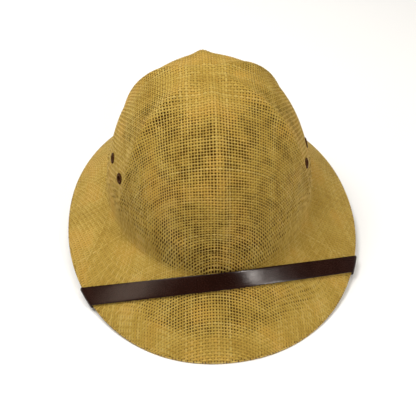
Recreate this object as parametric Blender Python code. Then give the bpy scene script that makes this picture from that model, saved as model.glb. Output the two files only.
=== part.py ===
"""Sun helmet of pressed woven straw, with a leather-look strap across the front of its brim.

Metres, +Z up. The front of the hat looks along -Y, so the wearer's left is +X. The origin is on the
surface that the hat rests on, under the middle of the brim.

The shell is one pressed sheet. Its surface is worked out from an angle and a station. The angle turns
about the crown, from +X towards +Y, so the front is at 270 degrees. The station runs down the sheet:
0 is the top of the crown, 1 where the dome meets the wall, 2 the top of the fillet at the crown's
foot, 3 the bottom of that fillet and 4 the edge of the brim.
"""
import math

import bmesh
import bpy
from mathutils import Vector

UP = Vector((0.0, 0.0, 1.0))
FRONT_ANGLE = math.radians(270.0)

# Crown: an oval foot that tapers upwards into a dome
FOOT_HEIGHT = 0.0410
CROWN_HEIGHT = 0.1155
CROWN_HALF_WIDTH = 0.0977
CROWN_FRONT_LENGTH = 0.1130
CROWN_REAR_LENGTH = 0.0970
CROWN_CENTRE_Y = 0.0104
CROWN_FULLNESS = 1.945
CROWN_TAPER = 0.183
CROWN_TOP_SET_BACK = 0.0112
DOME_START = 0.0165
DOME_RISE_POWER = 2.66
DOME_ROUND_POWER = 2.33

# Brim: an oval edge, lower at the front and rear, where the hat rests on two flat arcs
BRIM_HALF_WIDTH = 0.1380
BRIM_FRONT_LENGTH = 0.1530
BRIM_REAR_LENGTH = 0.1710
BRIM_CENTRE_Y = -0.0090
BRIM_FULLNESS = 2.11
BRIM_SIDE_RISE = 0.0108
BRIM_REST_SHARE = 0.80
BRIM_RISE_POWER = 1.25
BRIM_CAMBER = 0.0010
FILLET_SIZE = 0.0036

# Sheet and turned hem
SHEET_THICKNESS = 0.0018
HEM_THICKNESS = 0.0026
HEM_LIP = 0.0016
HEM_START = 3.80
HEM_FULL = 3.86

# Six ribs meet at the top of the crown. They are broad on the dome and thin on the wall.
RIB_COUNT = 6
RIB_WALL_HEIGHT = 0.0009
RIB_DOME_HEIGHT = 0.0030
RIB_WALL_REACH = 0.0034
RIB_DOME_REACH = 0.0066
RIB_NARROW_BELOW = 0.045
RIB_BROAD_ABOVE = 0.090
RIB_FADE_START = 0.006
RIB_FADE_END = 0.016
RIB_TOP_FADE = 0.016
PANEL_HOLLOW = 0.0012

# Beads round the crown's foot: height above the foot, swell, half of the width
BEADS = (
    {"height": 0.0205, "swell": 0.0010, "reach": 0.0026},
    {"height": 0.0295, "swell": 0.0012, "reach": 0.0030},
)

# Vent eyelets, in pairs on each side, and their turned profile as radius and height
EYELET_HEIGHT = 0.0480
EYELET_FORWARD_DEGREES = {"front": 24.7, "rear": 8.0}
EYELET_SIDES = 14
EYELET_BARREL_RADIUS = 0.0033
EYELET_PROFILE = (
    {"radius": 0.0025, "height": 0.0010},
    {"radius": 0.0033, "height": 0.0015},
    {"radius": 0.0046, "height": 0.0013},
    {"radius": 0.0055, "height": 0.0006},
    {"radius": 0.0055, "height": 0.0004},
    {"radius": 0.0033, "height": 0.0004},
    {"radius": 0.0033, "height": -0.0024},
    {"radius": 0.0048, "height": -0.0024},
    {"radius": 0.0047, "height": -0.0029},
    {"radius": 0.0025, "height": -0.0030},
)
HOLE_CLEARANCE = 0.0003
HOLE_CUT_LENGTH = 0.016

# Strap: where its two edges cross the brim's edge, and where they pass the front of the crown
STRAP_THICKNESS = 0.0014
STRAP_GAP = 0.0004
STRAP_RIGHT_DEGREES = {"front": 217.4, "rear": 209.4}
STRAP_LEFT_DEGREES = {"front": 325.9, "rear": 333.1}
STRAP_MIDDLE = {"front": (0.0, -0.1119, 0.0346), "rear": (0.0, -0.1018, 0.0462)}
STRAP_ANCHOR_HEIGHT = 0.034
STRAP_HEM_EASE = (3.45, 3.75)
STRAP_HIGHEST_STATION = 1.6
STRAP_EDGE_SAMPLE = 3.9
STRAP_FOOT_SHARE = 0.5
STRAP_FILLET_SHARE = 2.0 / 3.0
STRAP_BRIM_TURN = math.radians(11.6)
STRAP_WALL_TURN = math.radians(12.4)
STRAP_FOOT_SPREAD = math.radians(9.6)
STRAP_TOP_SECTIONS = 40
STRAP_FOLD_SECTIONS = 5
STRAP_UNDER_SECTIONS = 18

# Mesh rows and columns of the shell
COLUMNS = 84
DOME_ROWS = 9
WALL_HEIGHTS = (0.0380, 0.0330, 0.0295, 0.0260, 0.0238, 0.0205, 0.0170, 0.0120)
FILLET_STATIONS = (2.0, 2.34, 2.67, 3.0)
BRIM_STATIONS = (3.2, 3.4, 3.6, 3.79, 3.87, 4.0)

# Stations where the sheet's zones begin, and the station of its edge
WALL = 1.0
FILLET = 2.0
BRIM = 3.0
EDGE = 4.0

SHARP_ANGLE = math.radians(35.0)
SEARCH_STEPS = 40
SMALL_ANGLE = 1e-4
SMALL_STEP = 1e-4


def smooth_step(value, low, high):
    """0 below low, 1 above high and a smooth rise between."""
    share = min(max((value - low) / (high - low), 0.0), 1.0)
    return share * share * (3.0 - 2.0 * share)


def mix(first, second, share):
    return first * (1.0 - share) + second * share


def oval_point(angle, half_width, front_length, rear_length, fullness):
    """Point of an egg-shaped oval, rounder or squarer as fullness says."""
    along, across = math.sin(angle), math.cos(angle)
    length = front_length if along < 0.0 else rear_length
    total = (abs(across) / half_width) ** fullness + (abs(along) / length) ** fullness
    radius = total ** (-1.0 / fullness)
    return radius * across, radius * along


def crown_point(angle, height, scale):
    """Point of the crown's section at a height above its foot."""
    across, along = oval_point(
        angle, CROWN_HALF_WIDTH, CROWN_FRONT_LENGTH, CROWN_REAR_LENGTH, CROWN_FULLNESS
    )
    size = scale * (1.0 - CROWN_TAPER * height / CROWN_HEIGHT)
    lean = CROWN_TOP_SET_BACK * (height / CROWN_HEIGHT) ** 2
    return Vector((across * size, CROWN_CENTRE_Y + lean + along * size, FOOT_HEIGHT + height))


def edge_rise(angle):
    """How far the brim's edge stands above the surface the hat rests on."""
    share = min(math.sin(angle) ** 2 / BRIM_REST_SHARE, 1.0)
    return BRIM_SIDE_RISE * (1.0 - share) ** BRIM_RISE_POWER


def edge_point(angle):
    across, along = oval_point(
        angle, BRIM_HALF_WIDTH, BRIM_FRONT_LENGTH, BRIM_REAR_LENGTH, BRIM_FULLNESS
    )
    return Vector((across, BRIM_CENTRE_Y + along, HEM_LIP + edge_rise(angle)))


def brim_point(angle, share):
    """Point of the brim, from the crown's foot to the edge, a little arched between."""
    point = mix(crown_point(angle, 0.0, 1.0), edge_point(angle), share)
    return point + UP * (BRIM_CAMBER * 4.0 * share * (1.0 - share))


def fillet_share(angle):
    """Share of the brim that the fillet takes."""
    return FILLET_SIZE / (edge_point(angle) - crown_point(angle, 0.0, 1.0)).length


def form_point(angle, station):
    """Point of the smooth form, without ribs and beads."""
    if station <= WALL:
        turn = station * math.pi / 2.0
        rise = max(math.cos(turn), 0.0) ** (2.0 / DOME_RISE_POWER)
        scale = math.sin(turn) ** (2.0 / DOME_ROUND_POWER)
        return crown_point(angle, DOME_START + (CROWN_HEIGHT - DOME_START) * rise, scale)
    if station <= FILLET:
        return crown_point(angle, DOME_START + (FILLET_SIZE - DOME_START) * (station - WALL), 1.0)
    share = fillet_share(angle)
    if station <= BRIM:
        upper = crown_point(angle, FILLET_SIZE, 1.0)
        corner = crown_point(angle, 0.0, 1.0)
        lower = brim_point(angle, share)
        blend = station - FILLET
        return mix(mix(upper, corner, blend), mix(corner, lower, blend), blend)
    return brim_point(angle, share + (1.0 - share) * (station - BRIM))


def outward(angle, station):
    """Direction that leaves the form at a right angle."""
    if station < SMALL_STEP:
        return UP.copy()
    around = form_point(angle + SMALL_ANGLE, station) - form_point(angle - SMALL_ANGLE, station)
    before = max(station - SMALL_STEP, 0.0)
    after = min(station + SMALL_STEP, EDGE)
    down = form_point(angle, after) - form_point(angle, before)
    return down.cross(around).normalized()


def relief(angle, station):
    """How far the ribs, the panels between them and the beads leave the form."""
    point = form_point(angle, station)
    height = point.z - FOOT_HEIGHT
    if station > FILLET or height < 0.0:
        return 0.0
    centre_y = CROWN_CENTRE_Y + CROWN_TOP_SET_BACK * (height / CROWN_HEIGHT) ** 2
    radius = math.hypot(point.x, point.y - centre_y)
    pitch = 2.0 * math.pi / RIB_COUNT
    off_rib = (angle - FRONT_ANGLE + pitch / 2.0) % pitch - pitch / 2.0
    breadth = smooth_step(height, RIB_NARROW_BELOW, RIB_BROAD_ABOVE)
    reach = mix(RIB_WALL_REACH, RIB_DOME_REACH, breadth)
    rib = mix(RIB_WALL_HEIGHT, RIB_DOME_HEIGHT, breadth) * math.exp(-((radius * off_rib / reach) ** 2))
    rib *= smooth_step(height, RIB_FADE_START, RIB_FADE_END) * smooth_step(radius, 0.0, RIB_TOP_FADE)
    share = min(max((height - DOME_START) / (CROWN_HEIGHT - DOME_START), 0.0), 1.0)
    hollow = PANEL_HOLLOW * 4.0 * share * (1.0 - share) * (1.0 - math.cos(RIB_COUNT * off_rib)) / 2.0
    bead = sum(row["swell"] * math.exp(-(((height - row["height"]) / row["reach"]) ** 2)) for row in BEADS)
    return rib - hollow + bead


def skin_point(angle, station, depth=0.0):
    """Point of the pressed sheet, at a depth below its outer face."""
    return form_point(angle, station) + outward(angle, station) * (relief(angle, station) - depth)


def sheet_depth(station):
    """Thickness of the sheet, which is doubled by the hem near the edge."""
    return mix(SHEET_THICKNESS, HEM_THICKNESS, smooth_step(station, HEM_START, HEM_FULL))


def station_at_height(height):
    """Station of a height above the foot, on the dome or the wall."""
    if height <= DOME_START:
        return WALL + (DOME_START - height) / (DOME_START - FILLET_SIZE)
    rise = (height - DOME_START) / (CROWN_HEIGHT - DOME_START)
    return math.acos(rise ** (DOME_RISE_POWER / 2.0)) * 2.0 / math.pi


def rest_station(angle):
    """Station at which the hem's under face comes down to the bottom of the edge."""
    low, high = HEM_START, EDGE
    for _ in range(SEARCH_STEPS):
        middle = (low + high) / 2.0
        if skin_point(angle, middle, HEM_THICKNESS).z > edge_rise(angle):
            low = middle
        else:
            high = middle
    return low


def make_material(name, colour, roughness, metallic):
    material = bpy.data.materials.new(name)
    material.use_nodes = True
    shader = material.node_tree.nodes["Principled BSDF"]
    shader.inputs["Base Color"].default_value = (*colour, 1.0)
    shader.inputs["Roughness"].default_value = roughness
    shader.inputs["Metallic"].default_value = metallic
    material.diffuse_color = (*colour, 1.0)
    return material


def add_object(name, mesh, material):
    mesh.materials.append(material)
    mesh.shade_smooth()
    mesh.set_sharp_from_angle(angle=SHARP_ANGLE)
    thing = bpy.data.objects.new(name, mesh)
    bpy.context.scene.collection.objects.link(thing)
    return thing


def bridge_rings(mesh, first, second):
    """Band of quads between two closed rings of vertices."""
    for index in range(len(first)):
        following = (index + 1) % len(first)
        mesh.faces.new((first[index], second[index], second[following], first[following]))


def finish_mesh(mesh, name):
    bmesh.ops.recalc_face_normals(mesh, faces=mesh.faces)
    if mesh.calc_volume(signed=True) < 0.0:
        bmesh.ops.reverse_faces(mesh, faces=mesh.faces)
    bmesh.ops.triangulate(mesh, faces=mesh.faces)
    data = bpy.data.meshes.new(name)
    mesh.to_mesh(data)
    mesh.free()
    return data


def shell_stations():
    """Stations of the shell's rows below the top point."""
    dome_end = station_at_height(WALL_HEIGHTS[0])
    dome = [dome_end * (row + 1) / DOME_ROWS for row in range(DOME_ROWS - 1)]
    wall = [station_at_height(height) for height in WALL_HEIGHTS]
    return dome + wall + list(FILLET_STATIONS) + list(BRIM_STATIONS)


def shell_mesh():
    """Closed sheet: outer face, flat bottom of the hem, inner face."""
    mesh = bmesh.new()
    angles = [2.0 * math.pi * column / COLUMNS for column in range(COLUMNS)]
    stations = shell_stations()

    def ring(points):
        return [mesh.verts.new(point) for point in points]

    outer = [ring(skin_point(angle, station) for angle in angles) for station in stations]
    lip = []
    seat = []
    for angle in angles:
        edge = skin_point(angle, EDGE)
        lip.append(Vector((edge.x, edge.y, edge_rise(angle))))
        under = skin_point(angle, rest_station(angle), HEM_THICKNESS)
        seat.append(Vector((under.x, under.y, edge_rise(angle))))
    inner = [
        ring(skin_point(angle, station, sheet_depth(station)) for angle in angles)
        for station in reversed(stations[:-1])
    ]
    rings = outer + [ring(lip), ring(seat)] + inner
    for first, second in zip(rings, rings[1:]):
        bridge_rings(mesh, first, second)
    for end, depth in ((rings[0], 0.0), (rings[-1], SHEET_THICKNESS)):
        peak = mesh.verts.new(skin_point(FRONT_ANGLE, 0.0, depth))
        for index in range(COLUMNS):
            mesh.faces.new((peak, end[index], end[(index + 1) % COLUMNS]))
    return finish_mesh(mesh, "shell")


def eyelet_frame(side, place):
    """Seat and axis of an eyelet; side is 1 on the wearer's left and -1 on the right."""
    forward = math.radians(EYELET_FORWARD_DEGREES[place])
    angle = -forward if side > 0 else math.pi + forward
    station = station_at_height(EYELET_HEIGHT)
    return skin_point(angle, station), outward(angle, station)


def turned_mesh(name, seat, axis, profile, sides):
    """Ring turned from a closed profile of radius and height."""
    mesh = bmesh.new()
    turn = UP.rotation_difference(axis)
    rings = []
    for row in profile:
        ring = []
        for index in range(sides):
            angle = 2.0 * math.pi * index / sides
            radius = row["radius"]
            local = Vector((radius * math.cos(angle), radius * math.sin(angle), row["height"]))
            ring.append(mesh.verts.new(seat + turn @ local))
        rings.append(ring)
    for first, second in zip(rings, rings[1:] + rings[:1]):
        bridge_rings(mesh, first, second)
    return finish_mesh(mesh, name)


def hole_cutter(name, seat, axis):
    """Round bar that cuts an eyelet's hole through the shell."""
    mesh = bmesh.new()
    radius = EYELET_BARREL_RADIUS + HOLE_CLEARANCE
    bmesh.ops.create_cone(
        mesh, cap_ends=True, segments=EYELET_SIDES, radius1=radius, radius2=radius, depth=HOLE_CUT_LENGTH
    )
    turn = UP.rotation_difference(axis)
    for vertex in mesh.verts:
        vertex.co = seat + turn @ vertex.co
    cutter = bpy.data.objects.new(name, finish_mesh(mesh, name))
    cutter.hide_render = True
    cutter.display_type = "WIRE"
    bpy.context.scene.collection.objects.link(cutter)
    return cutter


def cut_hole(shell, cutter):
    boolean = shell.modifiers.new(cutter.name, "BOOLEAN")
    boolean.operation = "DIFFERENCE"
    boolean.solver = "EXACT"
    boolean.object = cutter


def lane_value(table, lane):
    """Value for a lane of the strap: lane 0 is its front edge and 1 its rear edge."""
    return mix(table["front"], table["rear"], lane)


def lane_plane(lane):
    """Plane in which a lane of the strap crosses over the brim, as a point and a normal."""
    right = skin_point(math.radians(lane_value(STRAP_RIGHT_DEGREES, lane)), EDGE)
    left = skin_point(math.radians(lane_value(STRAP_LEFT_DEGREES, lane)), EDGE)
    middle = mix(Vector(STRAP_MIDDLE["front"]), Vector(STRAP_MIDDLE["rear"]), lane)
    return middle, (left - middle).cross(right - middle).normalized()


def station_in_plane(angle, plane):
    """Station at which the outer face comes down through a plane."""
    point, normal = plane
    low, high = STRAP_HIGHEST_STATION, EDGE
    above = (form_point(angle, low) - point).dot(normal)
    for _ in range(SEARCH_STEPS):
        middle = (low + high) / 2.0
        if (form_point(angle, middle) - point).dot(normal) * above > 0.0:
            low = middle
        else:
            high = middle
    return (low + high) / 2.0


def top_seat(lane, share):
    """Seat of a lane on the brim's top, from the wearer's right to the left, and its outward way."""
    start = math.radians(lane_value(STRAP_RIGHT_DEGREES, lane))
    end = math.radians(lane_value(STRAP_LEFT_DEGREES, lane))
    angle = mix(start, end, share)
    station = station_in_plane(angle, lane_plane(lane))
    away = outward(angle, station)
    return form_point(angle, station) + away * STRAP_GAP, away


def fold_seat(lane, degrees, share):
    """Seat of a lane where it turns round the hem, from the top to the under side."""
    angle = math.radians(lane_value(degrees, lane))
    normal = outward(angle, EDGE)
    along = (form_point(angle, EDGE) - form_point(angle, STRAP_EDGE_SAMPLE)).normalized()
    turn = math.pi * share
    away = normal * math.cos(turn) + along * math.sin(turn)
    centre = form_point(angle, EDGE) - normal * (HEM_THICKNESS / 2.0)
    return centre + away * (HEM_THICKNESS / 2.0 + STRAP_GAP), away


def under_course(share):
    """Station of a share of the strap's under run, and how much of the brim and wall it has passed."""
    on_brim = min(share / STRAP_FOOT_SHARE, 1.0)
    on_fillet = max((share - STRAP_FOOT_SHARE) / (STRAP_FILLET_SHARE - STRAP_FOOT_SHARE), 0.0)
    on_wall = max((share - STRAP_FILLET_SHARE) / (1.0 - STRAP_FILLET_SHARE), 0.0)
    if on_wall > 0.0:
        height = mix(FILLET_SIZE, STRAP_ANCHOR_HEIGHT, on_wall)
        return station_at_height(height), on_brim, on_wall
    return mix(EDGE, BRIM, on_brim) - on_fillet, on_brim, on_wall


def under_seat(lane, degrees, share):
    """Seat of a lane under the brim and up the inside of the crown."""
    rearward = 1.0 if degrees is STRAP_LEFT_DEGREES else -1.0
    station, on_brim, on_wall = under_course(share)
    crossing = math.radians(lane_value(degrees, lane))
    centre = math.radians((degrees["front"] + degrees["rear"]) / 2.0)
    spread = rearward * STRAP_FOOT_SPREAD * (lane - 0.5)
    angle = mix(crossing, centre + spread, on_brim)
    angle += rearward * (STRAP_BRIM_TURN * on_brim + STRAP_WALL_TURN * on_wall)
    away = -outward(angle, station)
    depth = mix(SHEET_THICKNESS, HEM_THICKNESS, smooth_step(station, *STRAP_HEM_EASE))
    inset = depth + STRAP_GAP - min(relief(angle, station), 0.0)
    return form_point(angle, station) + away * inset, away


def strap_sections():
    """Cross-sections of the strap's shell side: three lane seats and the way off the shell."""
    lanes = (0.0, 0.5, 1.0)

    def section(seat, *values):
        seats = [seat(lane, *values) for lane in lanes]
        return [place for place, _ in seats], seats[1][1]

    under = [index / STRAP_UNDER_SECTIONS for index in range(1, STRAP_UNDER_SECTIONS + 1)]
    fold = [index / STRAP_FOLD_SECTIONS for index in range(1, STRAP_FOLD_SECTIONS + 1)]
    top = [index / STRAP_TOP_SECTIONS for index in range(STRAP_TOP_SECTIONS + 1)]
    sections = [section(under_seat, STRAP_RIGHT_DEGREES, share) for share in reversed(under)]
    sections += [section(fold_seat, STRAP_RIGHT_DEGREES, share) for share in reversed(fold)]
    for share in top:
        places, away = section(top_seat, share)
        lift = ((places[0] + places[2]) / 2.0 - places[1]).dot(away)
        places[1] += away * max(lift, 0.0)
        sections.append((places, away))
    sections += [section(fold_seat, STRAP_LEFT_DEGREES, share) for share in fold]
    sections += [section(under_seat, STRAP_LEFT_DEGREES, share) for share in under]
    return sections


def strap_mesh():
    """Flat strip on its seats, closed with a cap at each end."""
    mesh = bmesh.new()
    sections = strap_sections()
    rings = []
    for index, (places, away) in enumerate(sections):
        before = sections[max(index - 1, 0)][0][1]
        after = sections[min(index + 1, len(sections) - 1)][0][1]
        normal = (places[2] - places[0]).cross(after - before).normalized()
        if normal.dot(away) < 0.0:
            normal = -normal
        faced = [place + normal * STRAP_THICKNESS for place in places]
        rings.append([mesh.verts.new(point) for point in places + faced[::-1]])
    for first, second in zip(rings, rings[1:]):
        bridge_rings(mesh, first, second)
    for ring in (rings[0], rings[-1]):
        inner = ring[:3]
        faced = ring[:2:-1]
        for step in range(2):
            mesh.faces.new((inner[step], inner[step + 1], faced[step + 1], faced[step]))
    return finish_mesh(mesh, "chin_strap")


def clear_scene():
    for thing in list(bpy.data.objects):
        bpy.data.objects.remove(thing, do_unlink=True)


def main():
    clear_scene()
    straw = make_material("woven_straw", (0.44, 0.29, 0.085), 0.85, 0.0)
    leather = make_material("strap_leather", (0.035, 0.010, 0.006), 0.40, 0.0)
    metal = make_material("eyelet_metal", (0.050, 0.028, 0.018), 0.35, 0.8)
    shell = add_object("shell", shell_mesh(), straw)
    for side, side_name in ((-1, "right"), (1, "left")):
        for place in EYELET_FORWARD_DEGREES:
            name = f"eyelet_{side_name}_{place}"
            seat, axis = eyelet_frame(side, place)
            mesh = turned_mesh(name, seat, axis, EYELET_PROFILE, EYELET_SIDES)
            add_object(name, mesh, metal)
            cut_hole(shell, hole_cutter(f"hole_{side_name}_{place}", seat, axis))
    add_object("chin_strap", strap_mesh(), leather)


main()
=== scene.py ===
"""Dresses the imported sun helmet: woven straw strands, a turned hem, a chin strap and vent eyelets.

Metres, +Z up, the front of the hat looks along -Y. The straw follows the pressed form, which is worked
out from an angle about the crown and a station down the sheet: 0 is the top of the crown, 1 where the
dome meets the wall, 2 and 3 the two ends of the fillet at the crown's foot, 4 the edge of the brim.
"""

import math

import bpy
import numpy as np
from bpy.props import FloatProperty, FloatVectorProperty, IntProperty, PointerProperty
from bpy.types import Operator, Panel, PropertyGroup
from mathutils import Matrix, Vector


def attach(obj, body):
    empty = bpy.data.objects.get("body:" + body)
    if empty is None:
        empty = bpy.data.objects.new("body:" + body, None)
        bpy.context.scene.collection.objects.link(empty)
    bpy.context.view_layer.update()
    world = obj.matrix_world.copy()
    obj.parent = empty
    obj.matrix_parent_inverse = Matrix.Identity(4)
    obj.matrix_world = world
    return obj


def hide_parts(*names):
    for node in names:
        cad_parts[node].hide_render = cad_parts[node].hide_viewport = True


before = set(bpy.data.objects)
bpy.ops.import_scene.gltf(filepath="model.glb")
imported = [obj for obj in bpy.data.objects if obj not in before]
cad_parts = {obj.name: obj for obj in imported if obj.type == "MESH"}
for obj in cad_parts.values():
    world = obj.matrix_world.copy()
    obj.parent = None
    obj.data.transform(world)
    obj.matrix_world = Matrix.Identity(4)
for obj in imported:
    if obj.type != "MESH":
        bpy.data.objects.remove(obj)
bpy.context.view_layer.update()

bl_info = {
    "name": "Straw sun helmet",
    "version": (1, 0, 0),
    "blender": (4, 5, 0),
    "location": "View3D > Sidebar > Helmet",
    "description": "Weaves, hems and straps a pressed straw sun helmet around its packed model",
    "category": "Object",
}

UP = np.array((0.0, 0.0, 1.0))
FULL_TURN = 2.0 * math.pi
FRONT_ANGLE = math.radians(270.0)

# Sizes of the pressed form
FOOT_HEIGHT = 0.0410
CROWN_HEIGHT = 0.1155
CROWN_HALF_WIDTH = 0.0977
CROWN_FRONT_LENGTH = 0.1130
CROWN_REAR_LENGTH = 0.0970
CROWN_CENTRE_Y = 0.0104
CROWN_FULLNESS = 1.945
CROWN_TAPER = 0.183
CROWN_TOP_SET_BACK = 0.0112
DOME_START = 0.0165
DOME_RISE_POWER = 2.66
DOME_ROUND_POWER = 2.33
BRIM_HALF_WIDTH = 0.1380
BRIM_FRONT_LENGTH = 0.1530
BRIM_REAR_LENGTH = 0.1710
BRIM_CENTRE_Y = -0.0090
BRIM_FULLNESS = 2.11
BRIM_SIDE_RISE = 0.0108
BRIM_REST_SHARE = 0.80
BRIM_RISE_POWER = 1.25
BRIM_CAMBER = 0.0010
FILLET_SIZE = 0.0036
SHEET_THICKNESS = 0.0018
HEM_THICKNESS = 0.0026
HEM_LIP = 0.0016
RIB_COUNT = 6
RIB_WALL_HEIGHT = 0.0009
RIB_DOME_HEIGHT = 0.0030
RIB_WALL_REACH = 0.0034
RIB_DOME_REACH = 0.0066
RIB_NARROW_BELOW = 0.045
RIB_BROAD_ABOVE = 0.090
RIB_FADE_START = 0.006
RIB_FADE_END = 0.016
RIB_TOP_FADE = 0.016
PANEL_HOLLOW = 0.0012
BEADS = (
    {"height": 0.0205, "swell": 0.0010, "reach": 0.0026},
    {"height": 0.0295, "swell": 0.0012, "reach": 0.0030},
)
EYELET_HEIGHT = 0.0480
EYELET_FORWARD_DEGREES = {"front": 24.7, "rear": 8.0}

# Stations down the sheet, and steps that measure a direction or a place on it
WALL = 1.0
FILLET = 2.0
BRIM = 3.0
NEAR_EDGE = 3.9
EDGE = 4.0
WAY_STEP = 0.004
WAY_TURN = 0.002
HALVINGS = 40

# The strap's course
STRAP_GAP = 0.0004
STRAP_RIGHT_DEGREES = {"front": 217.4, "rear": 209.4}
STRAP_LEFT_DEGREES = {"front": 325.9, "rear": 333.1}
STRAP_MIDDLE = {"front": (0.0, -0.1119, 0.0346), "rear": (0.0, -0.1018, 0.0462)}
STRAP_ANCHOR_HEIGHT = 0.034
STRAP_HEM_EASE = (3.45, 3.75)
STRAP_HIGHEST_STATION = 1.6
STRAP_FOOT_SHARE = 0.5
STRAP_FILLET_SHARE = 2.0 / 3.0
STRAP_BRIM_TURN = math.radians(11.6)
STRAP_WALL_TURN = math.radians(12.4)
STRAP_FOOT_SPREAD = math.radians(9.6)

# The camera. Its lens comes from the photo's width and focal length, both in pixels.
PHOTO_WIDTH = 416.0
PHOTO_FOCAL_LENGTH = 604.0
CAMERA_TARGET = (-0.0020, 0.0, 0.0085)
CAMERA_DISTANCE = 0.600
CAMERA_ELEVATION = math.radians(50.4)
CAMERA_YAW = math.radians(7.0)
CAMERA_ROLL = math.radians(0.4)
CAMERA_SENSOR = 36.0
CAMERA_LENS = PHOTO_FOCAL_LENGTH / PHOTO_WIDTH * CAMERA_SENSOR


# Points of the pressed form


def smooth_step(value, low, high):
    """0 below low, 1 above high and a smooth rise between."""
    share = np.clip((value - low) / (high - low), 0.0, 1.0)
    return share * share * (3.0 - 2.0 * share)


def mix(first, second, share):
    return first * (1.0 - share) + second * share


def oval_point(angle, half_width, front_length, rear_length, fullness):
    """Point of an egg-shaped oval, rounder or squarer as fullness says."""
    along, across = np.sin(angle), np.cos(angle)
    length = np.where(along < 0.0, front_length, rear_length)
    total = (np.abs(across) / half_width) ** fullness + (np.abs(along) / length) ** fullness
    radius = total ** (-1.0 / fullness)
    return radius * across, radius * along


def crown_point(angle, height, scale):
    """Point of the crown's section at a height above its foot."""
    across, along = oval_point(
        angle, CROWN_HALF_WIDTH, CROWN_FRONT_LENGTH, CROWN_REAR_LENGTH, CROWN_FULLNESS
    )
    size = scale * (1.0 - CROWN_TAPER * height / CROWN_HEIGHT)
    lean = CROWN_TOP_SET_BACK * (height / CROWN_HEIGHT) ** 2
    parts = (across * size, CROWN_CENTRE_Y + lean + along * size, FOOT_HEIGHT + height)
    return np.stack(np.broadcast_arrays(*parts), axis=-1)


def edge_rise(angle):
    """How far the brim's edge stands above the surface the hat rests on."""
    share = np.minimum(np.sin(angle) ** 2 / BRIM_REST_SHARE, 1.0)
    return BRIM_SIDE_RISE * (1.0 - share) ** BRIM_RISE_POWER


def edge_point(angle):
    across, along = oval_point(
        angle, BRIM_HALF_WIDTH, BRIM_FRONT_LENGTH, BRIM_REAR_LENGTH, BRIM_FULLNESS
    )
    parts = (across, BRIM_CENTRE_Y + along, HEM_LIP + edge_rise(angle))
    return np.stack(np.broadcast_arrays(*parts), axis=-1)


def brim_point(angle, share):
    """Point of the brim, from the crown's foot to the edge, a little arched between."""
    point = mix(crown_point(angle, 0.0, 1.0), edge_point(angle), share[..., None])
    return point + UP * (BRIM_CAMBER * 4.0 * share * (1.0 - share))[..., None]


def form_point(angle, station):
    """Points of the smooth form, without ribs and beads."""
    angle, station = np.broadcast_arrays(np.asarray(angle, float), np.asarray(station, float))
    turn = np.minimum(station, WALL) * math.pi / 2.0
    rise = np.maximum(np.cos(turn), 0.0) ** (2.0 / DOME_RISE_POWER)
    dome_height = DOME_START + (CROWN_HEIGHT - DOME_START) * rise
    wall_height = DOME_START + (FILLET_SIZE - DOME_START) * (np.minimum(station, FILLET) - WALL)
    on_dome = station <= WALL
    scale = np.where(on_dome, np.sin(turn) ** (2.0 / DOME_ROUND_POWER), 1.0)
    crown = crown_point(angle, np.where(on_dome, dome_height, wall_height), scale)
    corner = crown_point(angle, 0.0, 1.0)
    share = FILLET_SIZE / np.linalg.norm(edge_point(angle) - corner, axis=-1)
    blend = np.clip(station - FILLET, 0.0, 1.0)[..., None]
    upper = crown_point(angle, FILLET_SIZE, 1.0)
    fillet = mix(mix(upper, corner, blend), mix(corner, brim_point(angle, share), blend), blend)
    brim = brim_point(angle, share + (1.0 - share) * (station - BRIM))
    lower = np.where((station <= BRIM)[..., None], fillet, brim)
    return np.where((station <= FILLET)[..., None], crown, lower)


def outward(angle, station):
    """Directions that leave the form at a right angle."""
    step = 1e-4
    angle, station = np.broadcast_arrays(np.asarray(angle, float), np.asarray(station, float))
    station = np.maximum(station, 2.0 * step)
    around = form_point(angle + step, station) - form_point(angle - step, station)
    down = form_point(angle, np.minimum(station + step, EDGE)) - form_point(angle, station - step)
    normal = np.cross(down, around)
    return normal / np.linalg.norm(normal, axis=-1, keepdims=True)


def ribs_and_panels(angle, station):
    """Height of the ribs, how close a place is to a rib's crest, and depth of the panels between."""
    point = form_point(angle, station)
    height = point[..., 2] - FOOT_HEIGHT
    centre_y = CROWN_CENTRE_Y + CROWN_TOP_SET_BACK * (height / CROWN_HEIGHT) ** 2
    radius = np.hypot(point[..., 0], point[..., 1] - centre_y)
    pitch = FULL_TURN / RIB_COUNT
    off_rib = (angle - FRONT_ANGLE + pitch / 2.0) % pitch - pitch / 2.0
    breadth = smooth_step(height, RIB_NARROW_BELOW, RIB_BROAD_ABOVE)
    reach = mix(RIB_WALL_REACH, RIB_DOME_REACH, breadth)
    crest = np.exp(-((radius * off_rib / reach) ** 2))
    crest = crest * smooth_step(height, RIB_FADE_START, RIB_FADE_END)
    crest = crest * smooth_step(radius, 0.0, RIB_TOP_FADE)
    share = np.clip((height - DOME_START) / (CROWN_HEIGHT - DOME_START), 0.0, 1.0)
    hollow = PANEL_HOLLOW * 4.0 * share * (1.0 - share) * (1.0 - np.cos(RIB_COUNT * off_rib)) / 2.0
    return mix(RIB_WALL_HEIGHT, RIB_DOME_HEIGHT, breadth) * crest, crest, hollow, height


def relief(angle, station):
    """How far the ribs, the panels between them and the beads leave the form."""
    rib, _, hollow, height = ribs_and_panels(angle, station)
    bead = sum(row["swell"] * np.exp(-(((height - row["height"]) / row["reach"]) ** 2)) for row in BEADS)
    return np.where((station > FILLET) | (height < 0.0), 0.0, rib - hollow + bead)


def skin_point(angle, station, depth=0.0):
    """Points of the pressed sheet, at a depth below its outer face, and the outward directions."""
    normal = outward(angle, station)
    return form_point(angle, station) + normal * (relief(angle, station) - depth)[..., None], normal


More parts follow.
